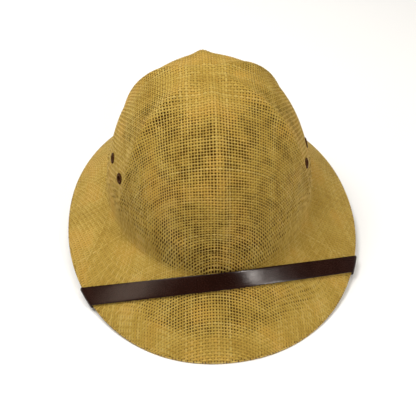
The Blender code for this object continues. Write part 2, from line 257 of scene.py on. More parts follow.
def skin_way(angle, station):
    """Directions at a right angle to the pressed sheet, ribs and beads included."""
    inner = np.clip(station - WAY_STEP, WAY_STEP, EDGE)
    outer = np.clip(station + WAY_STEP, 3.0 * WAY_STEP, EDGE)
    around = skin_point(angle + WAY_TURN, station)[0] - skin_point(angle - WAY_TURN, station)[0]
    normal = np.cross(skin_point(angle, outer)[0] - skin_point(angle, inner)[0], around)
    return normal / np.linalg.norm(normal, axis=-1, keepdims=True)


def station_at_height(height):
    """Station of a height above the foot, on the dome or the wall."""
    if height <= DOME_START:
        return WALL + (DOME_START - height) / (DOME_START - FILLET_SIZE)
    rise = (height - DOME_START) / (CROWN_HEIGHT - DOME_START)
    return math.acos(rise ** (DOME_RISE_POWER / 2.0)) * 2.0 / math.pi


# Node trees and materials


class Signal:
    """A node's output socket. Python's arithmetic on it adds Math nodes."""

    def __init__(self, board, socket):
        self.board = board
        self.socket = socket

    def output(self, name):
        """Another output of the same node."""
        return Signal(self.board, self.board.find(self.socket.node.outputs, name))

    def math(self, operation, first, second=0.0):
        return self.board.add("ShaderNodeMath", {"operation": operation}, {0: first, 1: second})

    def __add__(self, other):
        return self.math("ADD", self, other)

    def __sub__(self, other):
        return self.math("SUBTRACT", self, other)

    def __rsub__(self, other):
        return self.math("SUBTRACT", other, self)

    def __mul__(self, other):
        return self.math("MULTIPLY", self, other)

    def __truediv__(self, other):
        return self.math("DIVIDE", self, other)

    def __rtruediv__(self, other):
        return self.math("DIVIDE", other, self)

    __radd__ = __add__
    __rmul__ = __mul__

    def cosine(self):
        return self.math("COSINE", self)

    def floor(self):
        return self.math("FLOOR", self)

    def size(self):
        return self.math("ABSOLUTE", self)

    def at_most(self, other):
        return self.math("MINIMUM", self, other)

    def at_least(self, other):
        return self.math("MAXIMUM", self, other)


class Board:
    """A shader or geometry tree under construction."""

    def __init__(self, tree):
        self.tree = tree

    @staticmethod
    def find(sockets, key):
        if isinstance(key, int):
            return sockets[key]
        for socket in sockets:
            if socket.identifier == key:
                return socket
        return sockets[key]

    def add(self, kind, settings=None, sockets=None, output=0):
        """New node: its settings are set first, then the values or links of its sockets."""
        node = self.tree.nodes.new(kind)
        for name, value in (settings or {}).items():
            if name == "stops":
                self.set_stops(node.color_ramp, value)
            else:
                setattr(node, name, value)
        for key, value in (sockets or {}).items():
            socket = self.find(node.inputs, key)
            if isinstance(value, Signal):
                self.tree.links.new(value.socket, socket)
            else:
                socket.default_value = value
        return Signal(self, self.find(node.outputs, output)) if len(node.outputs) else None

    @staticmethod
    def set_stops(ramp, stops):
        while len(ramp.elements) < len(stops):
            ramp.elements.new(1.0)
        for element, (place, colour) in zip(ramp.elements, stops):
            element.position = place
            element.color = opaque(colour)

    def object_place(self):
        return self.add("ShaderNodeTexCoord", output="Object")

    def attribute(self, name, output="Fac"):
        """Attribute of the piece, read by a material."""
        return self.add("ShaderNodeAttribute", {"attribute_name": name}, output=output)

    def stored(self, name, kind="FLOAT"):
        """Attribute of the geometry, read by a geometry tree."""
        return self.add("GeometryNodeInputNamedAttribute", {"data_type": kind}, {"Name": name})

    def store(self, geometry, name, value):
        """The same geometry with a value kept for each of its points."""
        settings = {"data_type": "FLOAT", "domain": "POINT"}
        sockets = {"Geometry": geometry, "Name": name, "Value": value}
        return self.add("GeometryNodeStoreNamedAttribute", settings, sockets)

    def part(self, vector, axis):
        """One part of a vector: X, Y or Z."""
        return self.add("ShaderNodeSeparateXYZ", None, {"Vector": vector}, axis)

    def vector(self, x, y, z):
        return self.add("ShaderNodeCombineXYZ", None, {"X": x, "Y": y, "Z": z})

    def noise(self, vector, size, detail=2.0, roughness=0.5, seed=None):
        """Noise whose features are about size metres wide. Each seed gives another one."""
        settings = {"noise_dimensions": "3D" if seed is None else "4D"}
        sockets = {"Vector": vector, "Scale": 1.0 / size, "Detail": detail, "Roughness": roughness}
        if seed is not None:
            sockets["W"] = seed
        return self.add("ShaderNodeTexNoise", settings, sockets)

    def spread(self, value, low, high, new_low=0.0, new_high=1.0):
        """A value's range from low to high, brought to a new range and held there."""
        sockets = {"Value": value, "From Min": low, "From Max": high, "To Min": new_low, "To Max": new_high}
        return self.add("ShaderNodeMapRange", {"interpolation_type": "SMOOTHSTEP"}, sockets)

    def ramp(self, value, *stops):
        """Colours along a value: a place and a colour for each stop."""
        return self.add("ShaderNodeValToRGB", {"stops": stops}, {"Fac": value})

    def mix_colours(self, share, first, second):
        sockets = {"Factor_Float": share, "A_Color": first, "B_Color": second}
        return self.add("ShaderNodeMix", {"data_type": "RGBA"}, sockets, "Result_Color")

    def uneven_roughness(self, noise, mean, below, above):
        """Roughness that follows a noise, from a step below its mean to a step above."""
        return self.spread(noise, 0.3, 0.7, mean - below, mean + above)

    def bump(self, height, distance, strength):
        sockets = {"Height": height, "Distance": distance, "Strength": strength}
        return self.add("ShaderNodeBump", None, sockets)


def opaque(colour):
    return (*colour, 1.0)


def material_board(name):
    """New material with an empty tree."""
    material = bpy.data.materials.new(name)
    material.use_nodes = True
    material.node_tree.nodes.clear()
    return material, Board(material.node_tree)


def finish_material(board, sockets):
    surface = board.add("ShaderNodeBsdfPrincipled", None, sockets)
    board.add("ShaderNodeOutputMaterial", None, {"Surface": surface})


# Meshes


def mesh_object(name, vertices, faces, edges=()):
    mesh = bpy.data.meshes.new(name)
    mesh.from_pydata([tuple(vertex) for vertex in vertices], edges, faces)
    thing = bpy.data.objects.new(name, mesh)
    bpy.context.scene.collection.objects.link(thing)
    return thing


def add_values(mesh, name, kind, values):
    """Stores an attribute of the points: kind is FLOAT or FLOAT_VECTOR."""
    attribute = mesh.attributes.new(name, kind, "POINT")
    key = "vector" if kind == "FLOAT_VECTOR" else "value"
    attribute.data.foreach_set(key, np.ascontiguousarray(values, np.float32).ravel())


def add_uv(mesh, name, places):
    """UV map from one place per vertex."""
    layer = mesh.uv_layers.new(name=name)
    corners = np.empty(len(mesh.loops), np.int32)
    mesh.loops.foreach_get("vertex_index", corners)
    layer.uv.foreach_set("vector", np.asarray(places, np.float32)[corners].ravel())


def ring_faces(rows, columns, close_rows=False):
    """Quads over a grid of vertices whose columns close on themselves."""
    faces = []
    for row in range(rows if close_rows else rows - 1):
        start, below = row * columns, (row + 1) % rows * columns
        for column in range(columns):
            beside = (column + 1) % columns
            faces.append((start + column, start + beside, below + beside, below + column))
    return faces


def signed_volume(mesh):
    """Volume inside a closed mesh, negative where its faces point inwards."""
    total = 0.0
    for face in mesh.polygons:
        corners = [mesh.vertices[index].co for index in face.vertices]
        for step in range(1, len(corners) - 1):
            total += corners[0].dot(corners[step].cross(corners[step + 1])) / 6.0
    return total


def face_outwards(mesh):
    """Turns the faces of a closed mesh outwards."""
    if signed_volume(mesh) < 0.0:
        mesh.flip_normals()


def spokes(axis, count):
    """Directions at a right angle to an axis, evenly round it."""
    side = np.cross(UP, axis)
    side /= np.linalg.norm(side)
    turns = np.arange(count)[:, None] * FULL_TURN / count
    return np.cos(turns) * side + np.sin(turns) * np.cross(axis, side)


def applied_mesh(thing, modifier):
    """Plain mesh of an object with its modifier applied. The modifier is then removed."""
    depsgraph = bpy.context.evaluated_depsgraph_get()
    mesh = bpy.data.meshes.new_from_object(thing.evaluated_get(depsgraph))
    thing.modifiers.remove(modifier)
    return mesh


def grown_piece(name, source, tree, inputs):
    """Runs a geometry tree on an object and keeps the result as a plain mesh."""
    modifier = source.modifiers.new(tree.name, "NODES")
    modifier.node_group = tree
    for item in tree.interface.items_tree:
        if item.in_out == "INPUT" and item.name in inputs:
            modifier[item.identifier] = inputs[item.name]
    mesh = applied_mesh(source, modifier)
    mesh.name = name
    piece = bpy.data.objects.new(name, mesh)
    bpy.context.scene.collection.objects.link(piece)
    bpy.data.objects.remove(source, do_unlink=True)
    return piece


def geometry_board(name, inputs):
    """New geometry tree with an input for each named size and material."""
    tree = bpy.data.node_groups.new(name, "GeometryNodeTree")
    tree.interface.new_socket("Geometry", in_out="INPUT", socket_type="NodeSocketGeometry")
    for label, value in inputs.items():
        kind = "NodeSocketFloat" if isinstance(value, float) else "NodeSocketMaterial"
        socket = tree.interface.new_socket(label, in_out="INPUT", socket_type=kind)
        socket.default_value = value
    tree.interface.new_socket("Geometry", in_out="OUTPUT", socket_type="NodeSocketGeometry")
    board = Board(tree)
    return tree, board, board.add("NodeGroupInput")


def finish_geometry(board, geometry, material):
    """Realizes what is left of the instances and sets the material."""
    solid = board.add("GeometryNodeRealizeInstances", None, {"Geometry": geometry})
    dressed = board.add("GeometryNodeSetMaterial", None, {"Geometry": solid, "Material": material})
    board.add("NodeGroupOutput", None, {"Geometry": dressed})


def settle(piece, slot, *nodes):
    """Hands a finished piece to the frame."""
    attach(piece, "root")
    if nodes:
        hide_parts(*nodes)


def eyelet_seats():
    """Name, seat and axis of each eyelet; right and left are the wearer's."""
    station = station_at_height(EYELET_HEIGHT)
    seats = []
    for side_name in ("right", "left"):
        for place, degrees in EYELET_FORWARD_DEGREES.items():
            forward = math.radians(degrees)
            angle = -forward if side_name == "left" else math.pi + forward
            point, axis = skin_point(np.array(angle), np.array(station))
            seats.append((f"eyelet_{side_name}_{place}", point, axis))
    return seats


# The net of strands

# The flat map of the form, the grid seen from above that measures the sheet, and the search in them
MERIDIANS = 360
MERIDIAN_STEPS = 600
HEADING_STEPS = 30
REACH_STEPS = 400
MAP_REACH = 1.5
CELL = 0.002
CELLS = (115, 135)
SMOOTH_REACH = 13
SEARCH_ROUNDS = 30
SEARCH_STEP = 0.004
SEARCH_LIMIT = 0.05
SEARCH_FIRST_REACH = MAP_REACH - 0.1
SEARCH_LAST_REACH = MAP_REACH - 0.02
SEARCH_LEAST_BASE = 1e-4
TINY = 1e-9

# The sheet and its strands. A strand ends at a share of the way down the sheet, and at the eyelets.
NET_HALF_SIZE = 0.290
SHEET_TURN = math.radians(-5.0)
SHEET_REACH = 0.24
STRAND_WANDER = 0.025
STRAND_DEPTH = 0.0006
STRAND_END = 0.9965
EYELET_CLEAR = 0.0042
EYELET_NEAR = 0.02

# How far the weave closes in each region, and over which stations or directions
BRIM_CLOSING = 0.38
BRIM_SIDE_CLOSING = 0.50
HEM_CLOSING = 0.5
HEM_RISE = (0.80, 0.92)
RIB_CLOSING = 0.5
TOP_CLOSING = 0.66
TOP_FADE = (0.15, 0.54)
SIDE_CLOSING = 0.5
SIDE_FADE = (0.0, 0.65)
FOOT_CLOSING = 0.68
FOOT_RISE = (0.80, 1.10)
FOOT_FADE = (0.80, 0.96)

# How the widths of the strands follow chance, the form and their room. Walls that face sideways
# are closed as well.
FIBRE_SIZE = 1.0 / 330.0
FIBRE_SEED_STEP = 7.0
OPEN_BY_FIBRE = 0.70
OPEN_BY_TINT = 0.04
OPEN_BAND = (0.44, 0.60)
CLOSING_BAND = (0.25, 0.75)
SIDEWAYS_BAND = (0.80, 0.94)
FULLEST_SHARE = 0.96

# How the shade of the straw follows the strand, the clouds and the flecks
SHADE_STOPS = (0.10, 0.50, 0.92)
WARM_BAND = (0.46, 0.66)
WARM_SHARE = 0.50
STRAW_UNEVENNESS = 0.08
FIBRE_RELIEF = 0.00016
CLOUD_SIZE = 0.030
CLOUD_SHARE = 0.75
TINT_SHARE = 0.34
FLECK_SHARE = 0.55
FLECKS_ALONG = 260.0
FLECKS_ACROSS = 9.0
FLECKS_APART = 90.0
PRESSED_FLECK_SHARE = 0.45
PRESSED_FLECK_SIZE = 0.0011
PRESSED_RELIEF = 0.0005
# Painted shade in the gaps of the pressed weave: the band of heights it spans, and the share of colour left
# at the deepest
PRESSED_GAP_BAND = (0.30, 0.72)
PRESSED_GAP_SHADE = 0.12
PRESSED_LOW = 0.55
PRESSED_RISE = 0.45
CROSS_TINT_START = 500.5


def polar_look(table, angle, reach):
    """Table of meridians by reach, read between its rows and columns."""
    turn = angle / FULL_TURN * MERIDIANS
    row = np.floor(turn).astype(int)
    turn = turn - row
    low, high = row % MERIDIANS, (row + 1) % MERIDIANS
    out = np.clip(reach / MAP_REACH * (REACH_STEPS - 1), 0.0, REACH_STEPS - 1.001)
    column = out.astype(int)
    out = out - column
    if table.ndim == 3:
        turn, out = turn[..., None], out[..., None]
    first = mix(table[low, column], table[low, column + 1], out)
    return mix(first, mix(table[high, column], table[high, column + 1], out), turn)


def flat_angle(flat):
    return np.arctan2(flat[..., 1], flat[..., 0]) % FULL_TURN


def look_up(table, flat):
    return polar_look(table, flat_angle(flat), np.linalg.norm(flat, axis=-1))


def flat_places(angle, reach):
    """List of the flat places at angles and reaches."""
    return np.stack([reach * np.cos(angle), reach * np.sin(angle)], axis=-1).reshape(-1, 2)


def smoothed(values, axis, reach):
    """Mean over a window, taken twice."""
    for _ in range(2):
        padding = [(0, 0), (0, 0)]
        padding[axis] = (reach + 1, reach)
        total = np.cumsum(np.pad(values, padding, mode="edge"), axis=axis)
        span = 2 * reach + 1
        high = np.take(total, range(span, total.shape[axis]), axis)
        low = np.take(total, range(total.shape[axis] - span), axis)
        values = (high - low) / span
    return values


def closing(angle, station):
    """How tightly the weave is closed: on the ribs, over the top, at the sides and the rear, round
    the crown's foot except in front, and most towards the brim's sides and its hem."""
    out = np.clip((station - FILLET) / (EDGE - FILLET), 0.0, 1.0)
    brim = BRIM_CLOSING + BRIM_SIDE_CLOSING * np.cos(angle) ** 4 + HEM_CLOSING * smooth_step(out, *HEM_RISE)
    front = np.cos(angle - FRONT_ANGLE)
    crown = (
        TOP_CLOSING * (1.0 - smooth_step(station, *TOP_FADE)),
        SIDE_CLOSING * (1.0 - smooth_step(front, *SIDE_FADE)),
        FOOT_CLOSING * smooth_step(station, *FOOT_RISE) * (1.0 - smooth_step(front, *FOOT_FADE)),
        RIB_CLOSING * ribs_and_panels(angle, station)[1],
    )
    return np.where(station > FILLET, brim, np.max(crown, axis=0))


class FormMap:
    """The form laid out flat: a place's direction is its angle and its length the share of the
    way down the sheet, 1 at the edge of the brim. Past the edge the brim runs straight on."""

    def __init__(self):
        angles = np.arange(MERIDIANS) * FULL_TURN / MERIDIANS
        stations = np.linspace(0.0, EDGE, MERIDIAN_STEPS)
        points = form_point(angles[:, None], stations[None, :])
        steps = np.linalg.norm(np.diff(points, axis=1), axis=2)
        travel = np.concatenate([np.zeros((MERIDIANS, 1)), np.cumsum(steps, axis=1)], axis=1)
        self.lengths = travel[:, -1]
        self.stations = np.empty((MERIDIANS, REACH_STEPS))
        self.points = np.empty((MERIDIANS, REACH_STEPS, 3))
        for row in range(MERIDIANS):
            wanted = np.linspace(0.0, MAP_REACH, REACH_STEPS) * self.lengths[row]
            self.stations[row] = np.interp(wanted, travel[row], stations)
            for axis in range(3):
                self.points[row, :, axis] = np.interp(wanted, travel[row], points[row, :, axis])
            heading = points[row, -1] - points[row, -HEADING_STEPS]
            beyond = np.maximum(wanted - self.lengths[row], 0.0)[:, None]
            self.points[row] += heading / np.linalg.norm(heading) * beyond
        self.sheet = self.sheet_places()

    def sheet_places(self):
        """Where each place lay in the sheet before it was pressed: how far it is from the two
        middle strands, measured over the form. The hollow at the crown's foot is smoothed away
        from each way's measure sideways, as straw lies closer there and does not fold."""
        cosine, sine = math.cos(SHEET_TURN), math.sin(SHEET_TURN)
        turn = np.array(((cosine, sine), (-sine, cosine)))
        plan = self.points[..., :2] @ turn.T
        grids = np.meshgrid(*(np.arange(-count, count + 1) * CELL for count in CELLS), indexing="ij")
        height = self.look(self.find(plan, np.stack(grids, axis=-1)))[..., 2]
        spot = np.clip(plan / CELL + CELLS, 0.0, 2.0 * np.array(CELLS) - 0.001)
        column, row = np.moveaxis(spot.astype(int), -1, 0)
        right, up = np.moveaxis(spot - spot.astype(int), -1, 0)
        sheet = np.empty_like(plan)
        for axis in (0, 1):
            form = smoothed(height, 1 - axis, SMOOTH_REACH)
            travel = np.cumsum(np.hypot(CELL, np.diff(form, axis=axis)), axis=axis)
            travel = np.concatenate([np.zeros_like(travel.take([0], axis)), travel], axis=axis)
            travel = travel - travel.take([CELLS[axis]], axis)
            low = mix(travel[column, row], travel[column + 1, row], right)
            high = mix(travel[column, row + 1], travel[column + 1, row + 1], right)
            sheet[..., axis] = mix(low, high, up)
        return sheet

    def length_at(self, angle):
        """Way over the form from the top of the crown to the edge of the brim."""
        turns = np.linspace(0.0, FULL_TURN, MERIDIANS + 1)
        return np.interp(angle, turns, np.append(self.lengths, self.lengths[0]))

    def sheet_at(self, flat):
        return look_up(self.sheet, flat)

    def find(self, table, wanted):
        """Flat places at which a table gives what is wanted, by Newton's method."""
        size = np.maximum(np.linalg.norm(wanted, axis=-1, keepdims=True), TINY)
        flat = wanted / size * np.minimum(size / self.lengths.mean(), SEARCH_FIRST_REACH)
        across, along = np.array((SEARCH_STEP, 0.0)), np.array((0.0, SEARCH_STEP))
        for _ in range(SEARCH_ROUNDS):
            gap = wanted - look_up(table, flat)
            wide = (look_up(table, flat + across) - look_up(table, flat - across)) / (2.0 * SEARCH_STEP)
            long = (look_up(table, flat + along) - look_up(table, flat - along)) / (2.0 * SEARCH_STEP)
            base = wide[..., 0] * long[..., 1] - wide[..., 1] * long[..., 0]
            base = np.where(np.abs(base) < SEARCH_LEAST_BASE, SEARCH_LEAST_BASE, base)
            step = np.stack(
                [
                    (gap[..., 0] * long[..., 1] - gap[..., 1] * long[..., 0]) / base,
                    (wide[..., 0] * gap[..., 1] - wide[..., 1] * gap[..., 0]) / base,
                ],
                axis=-1,
            )
            far = np.linalg.norm(step, axis=-1, keepdims=True)
            flat = flat + step * np.minimum(1.0, SEARCH_LIMIT / np.maximum(far, TINY))
            reach = np.linalg.norm(flat, axis=-1, keepdims=True)
            flat = flat * np.minimum(1.0, SEARCH_LAST_REACH / np.maximum(reach, TINY))
        return flat

    def look(self, flat):
        """Points of the smooth form at flat places."""
        return look_up(self.points, flat)

    def seat(self, flat, depth):
        """Exact points of the pressed sheet at flat places, the outward directions, and how tightly
        the weave is closed there."""
        angle = flat_angle(flat)
        station = look_up(self.stations, flat)
        return skin_point(angle, station, depth)[0], skin_way(angle, station), closing(angle, station)


def lay_net(form_map, pitch, random):
    """Flat places of the crossings. Rows are strands that run front to rear."""
    count = round(NET_HALF_SIZE / pitch)
    numbers = np.arange(-count, count + 1)
    across, along = (pitch * (numbers + random.normal(0.0, STRAND_WANDER, len(numbers))) for _ in range(2))
    return form_map.find(form_map.sheet, np.stack(np.meshgrid(across, along, indexing="ij"), axis=-1))


def strand_room(points):
    """Free width of each strand between its neighbours, for both directions of the net."""
    down = np.gradient(points, axis=0)
    over = np.gradient(points, axis=1)
    area = np.linalg.norm(np.cross(down, over), axis=-1)
    return area / np.linalg.norm(over, axis=-1), area / np.linalg.norm(down, axis=-1)


def strand_runs(places, keep):
    """Cuts a strand where keep turns negative: yields the flat places of each kept run and the
    fractional index of each, with a new place on each cut."""
    inside = keep > 0.0
    index = 0
    count = len(keep)
    while index < count:
        if not inside[index]:
            index += 1
            continue
        start = index
        while index < count and inside[index]:
            index += 1
        steps = [float(step) for step in range(start, index)]
        if start > 0:
            steps.insert(0, start - keep[start] / (keep[start] - keep[start - 1]))
        if index < count:
            steps.append(index - 1 + keep[index - 1] / (keep[index - 1] - keep[index]))
        steps = np.array(steps)
        if len(steps) > 3:
            low = np.minimum(steps.astype(int), count - 2)
            yield mix(places[low], places[low + 1], (steps - low)[:, None]), steps


def strand_lines(form_map, flat, keep, room, parity, random):
    """Centre lines of the strands along the net's second axis, as one bag of points and edges."""
    bag = {"place": [], "normal": [], "closing": [], "lift": [], "room": [], "tint": [], "edges": []}
    total = 0
    for row in range(flat.shape[0]):
        tint = random.random()
        for places, steps in strand_runs(flat[row], keep[row]):
            points, normals, closed = form_map.seat(places, STRAND_DEPTH)
            whole = np.round(steps).astype(int)
            on_crossing = np.abs(steps - whole) < 1e-6
            over = (whole + row + parity) % 2 == 0
            bag["place"].append(points)
            bag["normal"].append(normals)
            bag["closing"].append(closed)
            bag["lift"].append(np.where(on_crossing, np.where(over, 1.0, -1.0), 0.0))
            bag["room"].append(room[row][np.clip(whole, 0, room.shape[1] - 1)])
            bag["tint"].append(np.full(len(steps), tint))
            bag["edges"].extend((total + step, total + step + 1) for step in range(len(steps) - 1))
            total += len(steps)
    return {key: value if key == "edges" else np.concatenate(value) for key, value in bag.items()}


def strand_source(name, lines):
    """Mesh of centre lines with what the weave tree reads."""
    thing = mesh_object(name, lines["place"], [], lines["edges"])
    add_values(thing.data, "face_way", "FLOAT_VECTOR", lines["normal"])
    for key in ("closing", "lift", "room", "tint"):
        add_values(thing.data, f"strand_{key}", "FLOAT", lines[key])
    return thing


def weave_tree(inputs):
    """Grows flat strands along centre lines, over and under each other."""
    tree, board, given = geometry_board("straw_weave", inputs)
    way = board.stored("face_way", "FLOAT_VECTOR")
    rise = board.stored("strand_lift") * given.output("Lift")
    offset = board.add("ShaderNodeVectorMath", {"operation": "SCALE"}, {0: way, "Scale": rise})
    place = board.add("GeometryNodeInputPosition")
    seed = given.output("Seed")
    patches = board.noise(place, given.output("Patch Size"), 2.5, 0.6, seed)
    fibre = board.noise(place, FIBRE_SIZE, 1.0, seed=seed + FIBRE_SEED_STEP)
    tint = board.stored("strand_tint")
    openness = patches + OPEN_BY_FIBRE * (fibre - 0.5) + OPEN_BY_TINT * (tint - 0.5)
    open_share = board.spread(openness, *OPEN_BAND)
    sideways = board.spread(board.part(way, "X").size(), *SIDEWAYS_BAND)
    closed = board.spread(board.stored("strand_closing"), *CLOSING_BAND).at_least(sideways)
    width = given.output("Wide Strand") * (1.0 - open_share) + given.output("Narrow Strand") * open_share
    width = width * (1.0 - closed) + given.output("Tight Strand") * closed
    room = board.stored("strand_room")
    stretch = (room / given.output("Pitch")).at_least(1.0)
    width = (width * stretch).at_most(FULLEST_SHARE * room)
    # The lines and their widths are settled before the lift, so over and under read the same patches.
    sized = board.store(given, "strand_width", width)
    lifted = board.add("GeometryNodeSetPosition", None, {"Geometry": sized, "Offset": offset})
    line = board.add("GeometryNodeMeshToCurve", None, {"Mesh": lifted})
    line = board.store(line, "strand_run", board.add("GeometryNodeSplineParameter", output="Length"))
    turned = board.add("GeometryNodeSetCurveNormal", {"mode": "FREE"}, {"Curve": line, "Normal": way})
    circle = board.add("GeometryNodeCurvePrimitiveCircle", None, {"Resolution": 6, "Radius": 0.5})
    flat = board.vector(given.output("Flatness"), 1.0, 1.0)
    profile = board.add("GeometryNodeTransform", None, {"Geometry": circle, "Scale": flat})
    profile_place = board.add("GeometryNodeInputPosition")
    profile = board.store(profile, "strand_across", board.part(profile_place, "Y"))
    width = board.stored("strand_width")
    sockets = {"Curve": turned, "Profile Curve": profile, "Scale": width, "Fill Caps": True}
    strands = board.add("GeometryNodeCurveToMesh", None, sockets)
    smooth = board.add("GeometryNodeSetShadeSmooth", None, {"Geometry": strands})
    finish_geometry(board, smooth, given.output("Straw"))
    return tree


def straw_shade(board, settings, tint, fleck, fleck_share):
    """Straw colour from deep to light, by the strand's own tint, slow clouds and the fibre's flecks."""
    cloud = board.noise(board.object_place(), CLOUD_SIZE, 3.0, 0.55)
    value = 0.5 + TINT_SHARE * (tint - 0.5) + CLOUD_SHARE * (cloud - 0.5) + fleck_share * (fleck - 0.5)
    return board.ramp(value, *zip(SHADE_STOPS, (settings.deep, settings.middle, settings.light)))


def straw_material(settings):
    """Matte paper straw: each strand its own shade, with warmer and paler patches."""
    material, board = material_board("woven_straw")
    tint = board.attribute("strand_tint")
    along = board.attribute("strand_run") * FLECKS_ALONG
    across = board.attribute("strand_across") * FLECKS_ACROSS
    fleck = board.noise(board.vector(along, across, tint * FLECKS_APART), 1.0, 3.0, 0.6)
    shade = straw_shade(board, settings, tint, fleck, FLECK_SHARE)
    warm = board.spread(board.noise(board.object_place(), CLOUD_SIZE, 3.0), *WARM_BAND, 0.0, WARM_SHARE)
    colour = board.mix_colours(warm, shade, opaque(settings.warm))
    # Painted shade: a strand is darkened towards the shaded straw colour on its flanks, where it dips under a
    # crossing, and on the side that faces the head.
    normal = board.add("ShaderNodeNewGeometry", output="Normal")
    way = board.attribute("face_way", "Vector")
    facing = board.add("ShaderNodeVectorMath", {"operation": "DOT_PRODUCT"}, {0: normal, 1: way}, "Value")
    painted_flank_shade = board.spread(facing, -0.1, 0.75, settings.inner_shade, 1.0)
    painted_dip_shade = board.spread(board.attribute("strand_lift"), -1.0, 0.1, settings.dip_shade, 1.0)
    finish_material(
        board,
        {
            "Base Color": board.mix_colours(painted_flank_shade * painted_dip_shade, opaque(settings.shadow), colour),
            "Roughness": board.uneven_roughness(
                fleck, settings.roughness, STRAW_UNEVENNESS, STRAW_UNEVENNESS
            ),
            "Specular IOR Level": 0.2,
            "Normal": board.bump(fleck, FIBRE_RELIEF, 0.6),
        },
    )
    return material


class StrawSettings(PropertyGroup):
    pitch: FloatProperty(
        name="Pitch",
        description="Distance from strand to strand",
        default=0.00250,
        unit="LENGTH",
        precision=5,
    )
    narrow: FloatProperty(
        name="Narrow strand",
        description="Width where the weave is open",
        default=0.00100,
        unit="LENGTH",
        precision=5,
    )
    wide: FloatProperty(
        name="Wide strand",
        description="Width over most of the crown",
        default=0.00163,
        unit="LENGTH",
        precision=5,
    )
    tight: FloatProperty(
        name="Tight strand",
        description="Width where the weave is closed, as on the ribs and the brim",
        default=0.00222,
        unit="LENGTH",
        precision=5,
    )
    flatness: FloatProperty(
        name="Flatness", description="A strand's thickness as a share of its width", default=0.24
    )
    lift: FloatProperty(
        name="Lift",
        description="How far a strand rises at a crossing",
        default=0.00026,
        unit="LENGTH",
        precision=5,
    )
    patch: FloatProperty(
        name="Patch",
        description="Size of the open and closed patches",
        default=0.009,
        unit="LENGTH",
        precision=4,
    )
    seed: IntProperty(name="Seed", description="Order of the chance differences between strands", default=11)
    light: FloatVectorProperty(
        name="Light straw",
        description="Palest strands",
        default=(0.60, 0.460, 0.150),
        subtype="COLOR",
        size=3,
    )
    middle: FloatVectorProperty(
        name="Middle straw",
        description="Most strands",
        default=(0.455, 0.305, 0.055),
        subtype="COLOR",
        size=3,
    )
    deep: FloatVectorProperty(
        name="Deep straw",
        description="Darkest strands",
        default=(0.31, 0.18, 0.020),
        subtype="COLOR",
        size=3,
    )
    warm: FloatVectorProperty(
        name="Warm straw",
        description="Colour of the warmer patches",
        default=(0.50, 0.275, 0.038),
        subtype="COLOR",
        size=3,
    )
    # Painted shade: the colour mixed into the strands' flanks, dips and inner sides, the pressed weave's gaps
    # and the inner layer's top
    shadow: FloatVectorProperty(
        name="Shaded straw",
        description="Colour deep in the weave",
        default=(0.042, 0.0095, 0.0025),
        subtype="COLOR",
        size=3,
    )
    # Painted shade: how much of the straw's colour is kept on the strands' inner sides and under their
    # crossings
    inner_shade: FloatProperty(
        name="Inner shade",
        description="Share of the straw's colour left on the side that faces the head",
        default=0.08,
        subtype="FACTOR",
    )
    dip_shade: FloatProperty(
        name="Dip shade",
        description="Share of the straw's colour left under a crossing",
        default=0.42,
        subtype="FACTOR",
    )
    roughness: FloatProperty(name="Roughness", description="Mean roughness", default=0.62, subtype="FACTOR")


class HELMET_OT_weave_straw(Operator):
    """Weave the crown and the brim from single strands"""

    bl_idname = "helmet.weave_straw"
    bl_label = "Weave straw"

    def execute(self, context):
        settings = context.scene.helmet_straw
        form_map = FormMap()
        random = np.random.default_rng(settings.seed)
        flat = lay_net(form_map, settings.pitch, random)
        points = form_map.look(flat)
        keep = (STRAND_END - np.linalg.norm(flat, axis=-1)) * SHEET_REACH
        for _, seat, axis in eyelet_seats():
            gap = points - seat
            along = gap @ axis
            off = np.linalg.norm(gap - along[..., None] * axis, axis=-1)
            keep = np.where(np.abs(along) < EYELET_NEAR, np.minimum(keep, off - EYELET_CLEAR), keep)
        inputs = {
            "Narrow Strand": settings.narrow,
            "Wide Strand": settings.wide,
            "Tight Strand": settings.tight,
            "Pitch": settings.pitch,
            "Flatness": settings.flatness,
            "Lift": settings.lift,
            "Patch Size": settings.patch,
            "Seed": float(settings.seed),
            "Straw": straw_material(settings),
        }
        tree = weave_tree(inputs)
        long_room, cross_room = strand_room(points)
        row, column = flat.shape[0] // 2, flat.shape[1] // 2
        long_net = (flat, keep, long_room)
        cross_net = (np.swapaxes(flat, 0, 1), keep.T, cross_room.T)
        for name, net, half, parity in (
            ("straw_long_right", long_net, slice(row), 0),
            ("straw_long_left", long_net, slice(row, None), row),
            ("straw_cross_front", cross_net, slice(column), 1),
            ("straw_cross_rear", cross_net, slice(column, None), column + 1),
        ):
            lines = strand_lines(form_map, *(table[half] for table in net), parity, random)
            piece = grown_piece(name, strand_source(name + "_lines", lines), tree, inputs)
            settle(piece, "woven_straw", *(("shell",) if name == "straw_long_right" else ()))
        # The inner layer: painted shade on top, seen through the weave, pressed straw below
        under = pressed_straw_material("pressed_straw_under", settings, True)
        build_layer(form_map, settings.pitch, (shade_material(settings), under))
        build_hem(form_map, settings.pitch, pressed_straw_material("pressed_straw", settings, False))
        return {"FINISHED"}


# The turned hem

HEM_COLUMNS = 480
HEM_START = 3.86
HEM_UNDER_STEP = 0.01
HEM_TOP_DEPTH = 0.00125
HEM_FOLD_DEPTH = 0.00012
HEM_SET_BACK = 0.0003
HEM_BULGE = 0.00035
HEM_TUCK = 0.0002
REST_SEARCH_START = 3.8

# Stations and depths of the hem's top rows, and the turns of its fold
HEM_TOP_ROWS = (
    (HEM_START, 0.0019),
    (HEM_START + 0.004, HEM_TOP_DEPTH),
    (3.93, HEM_TOP_DEPTH),
    (3.978, HEM_TOP_DEPTH),
    (3.988, 0.00075),
)
HEM_FOLD_TURNS = [share * math.pi / 2.0 for share in (0.85, 0.55, 0.2, -0.2, -0.55, -0.85)]


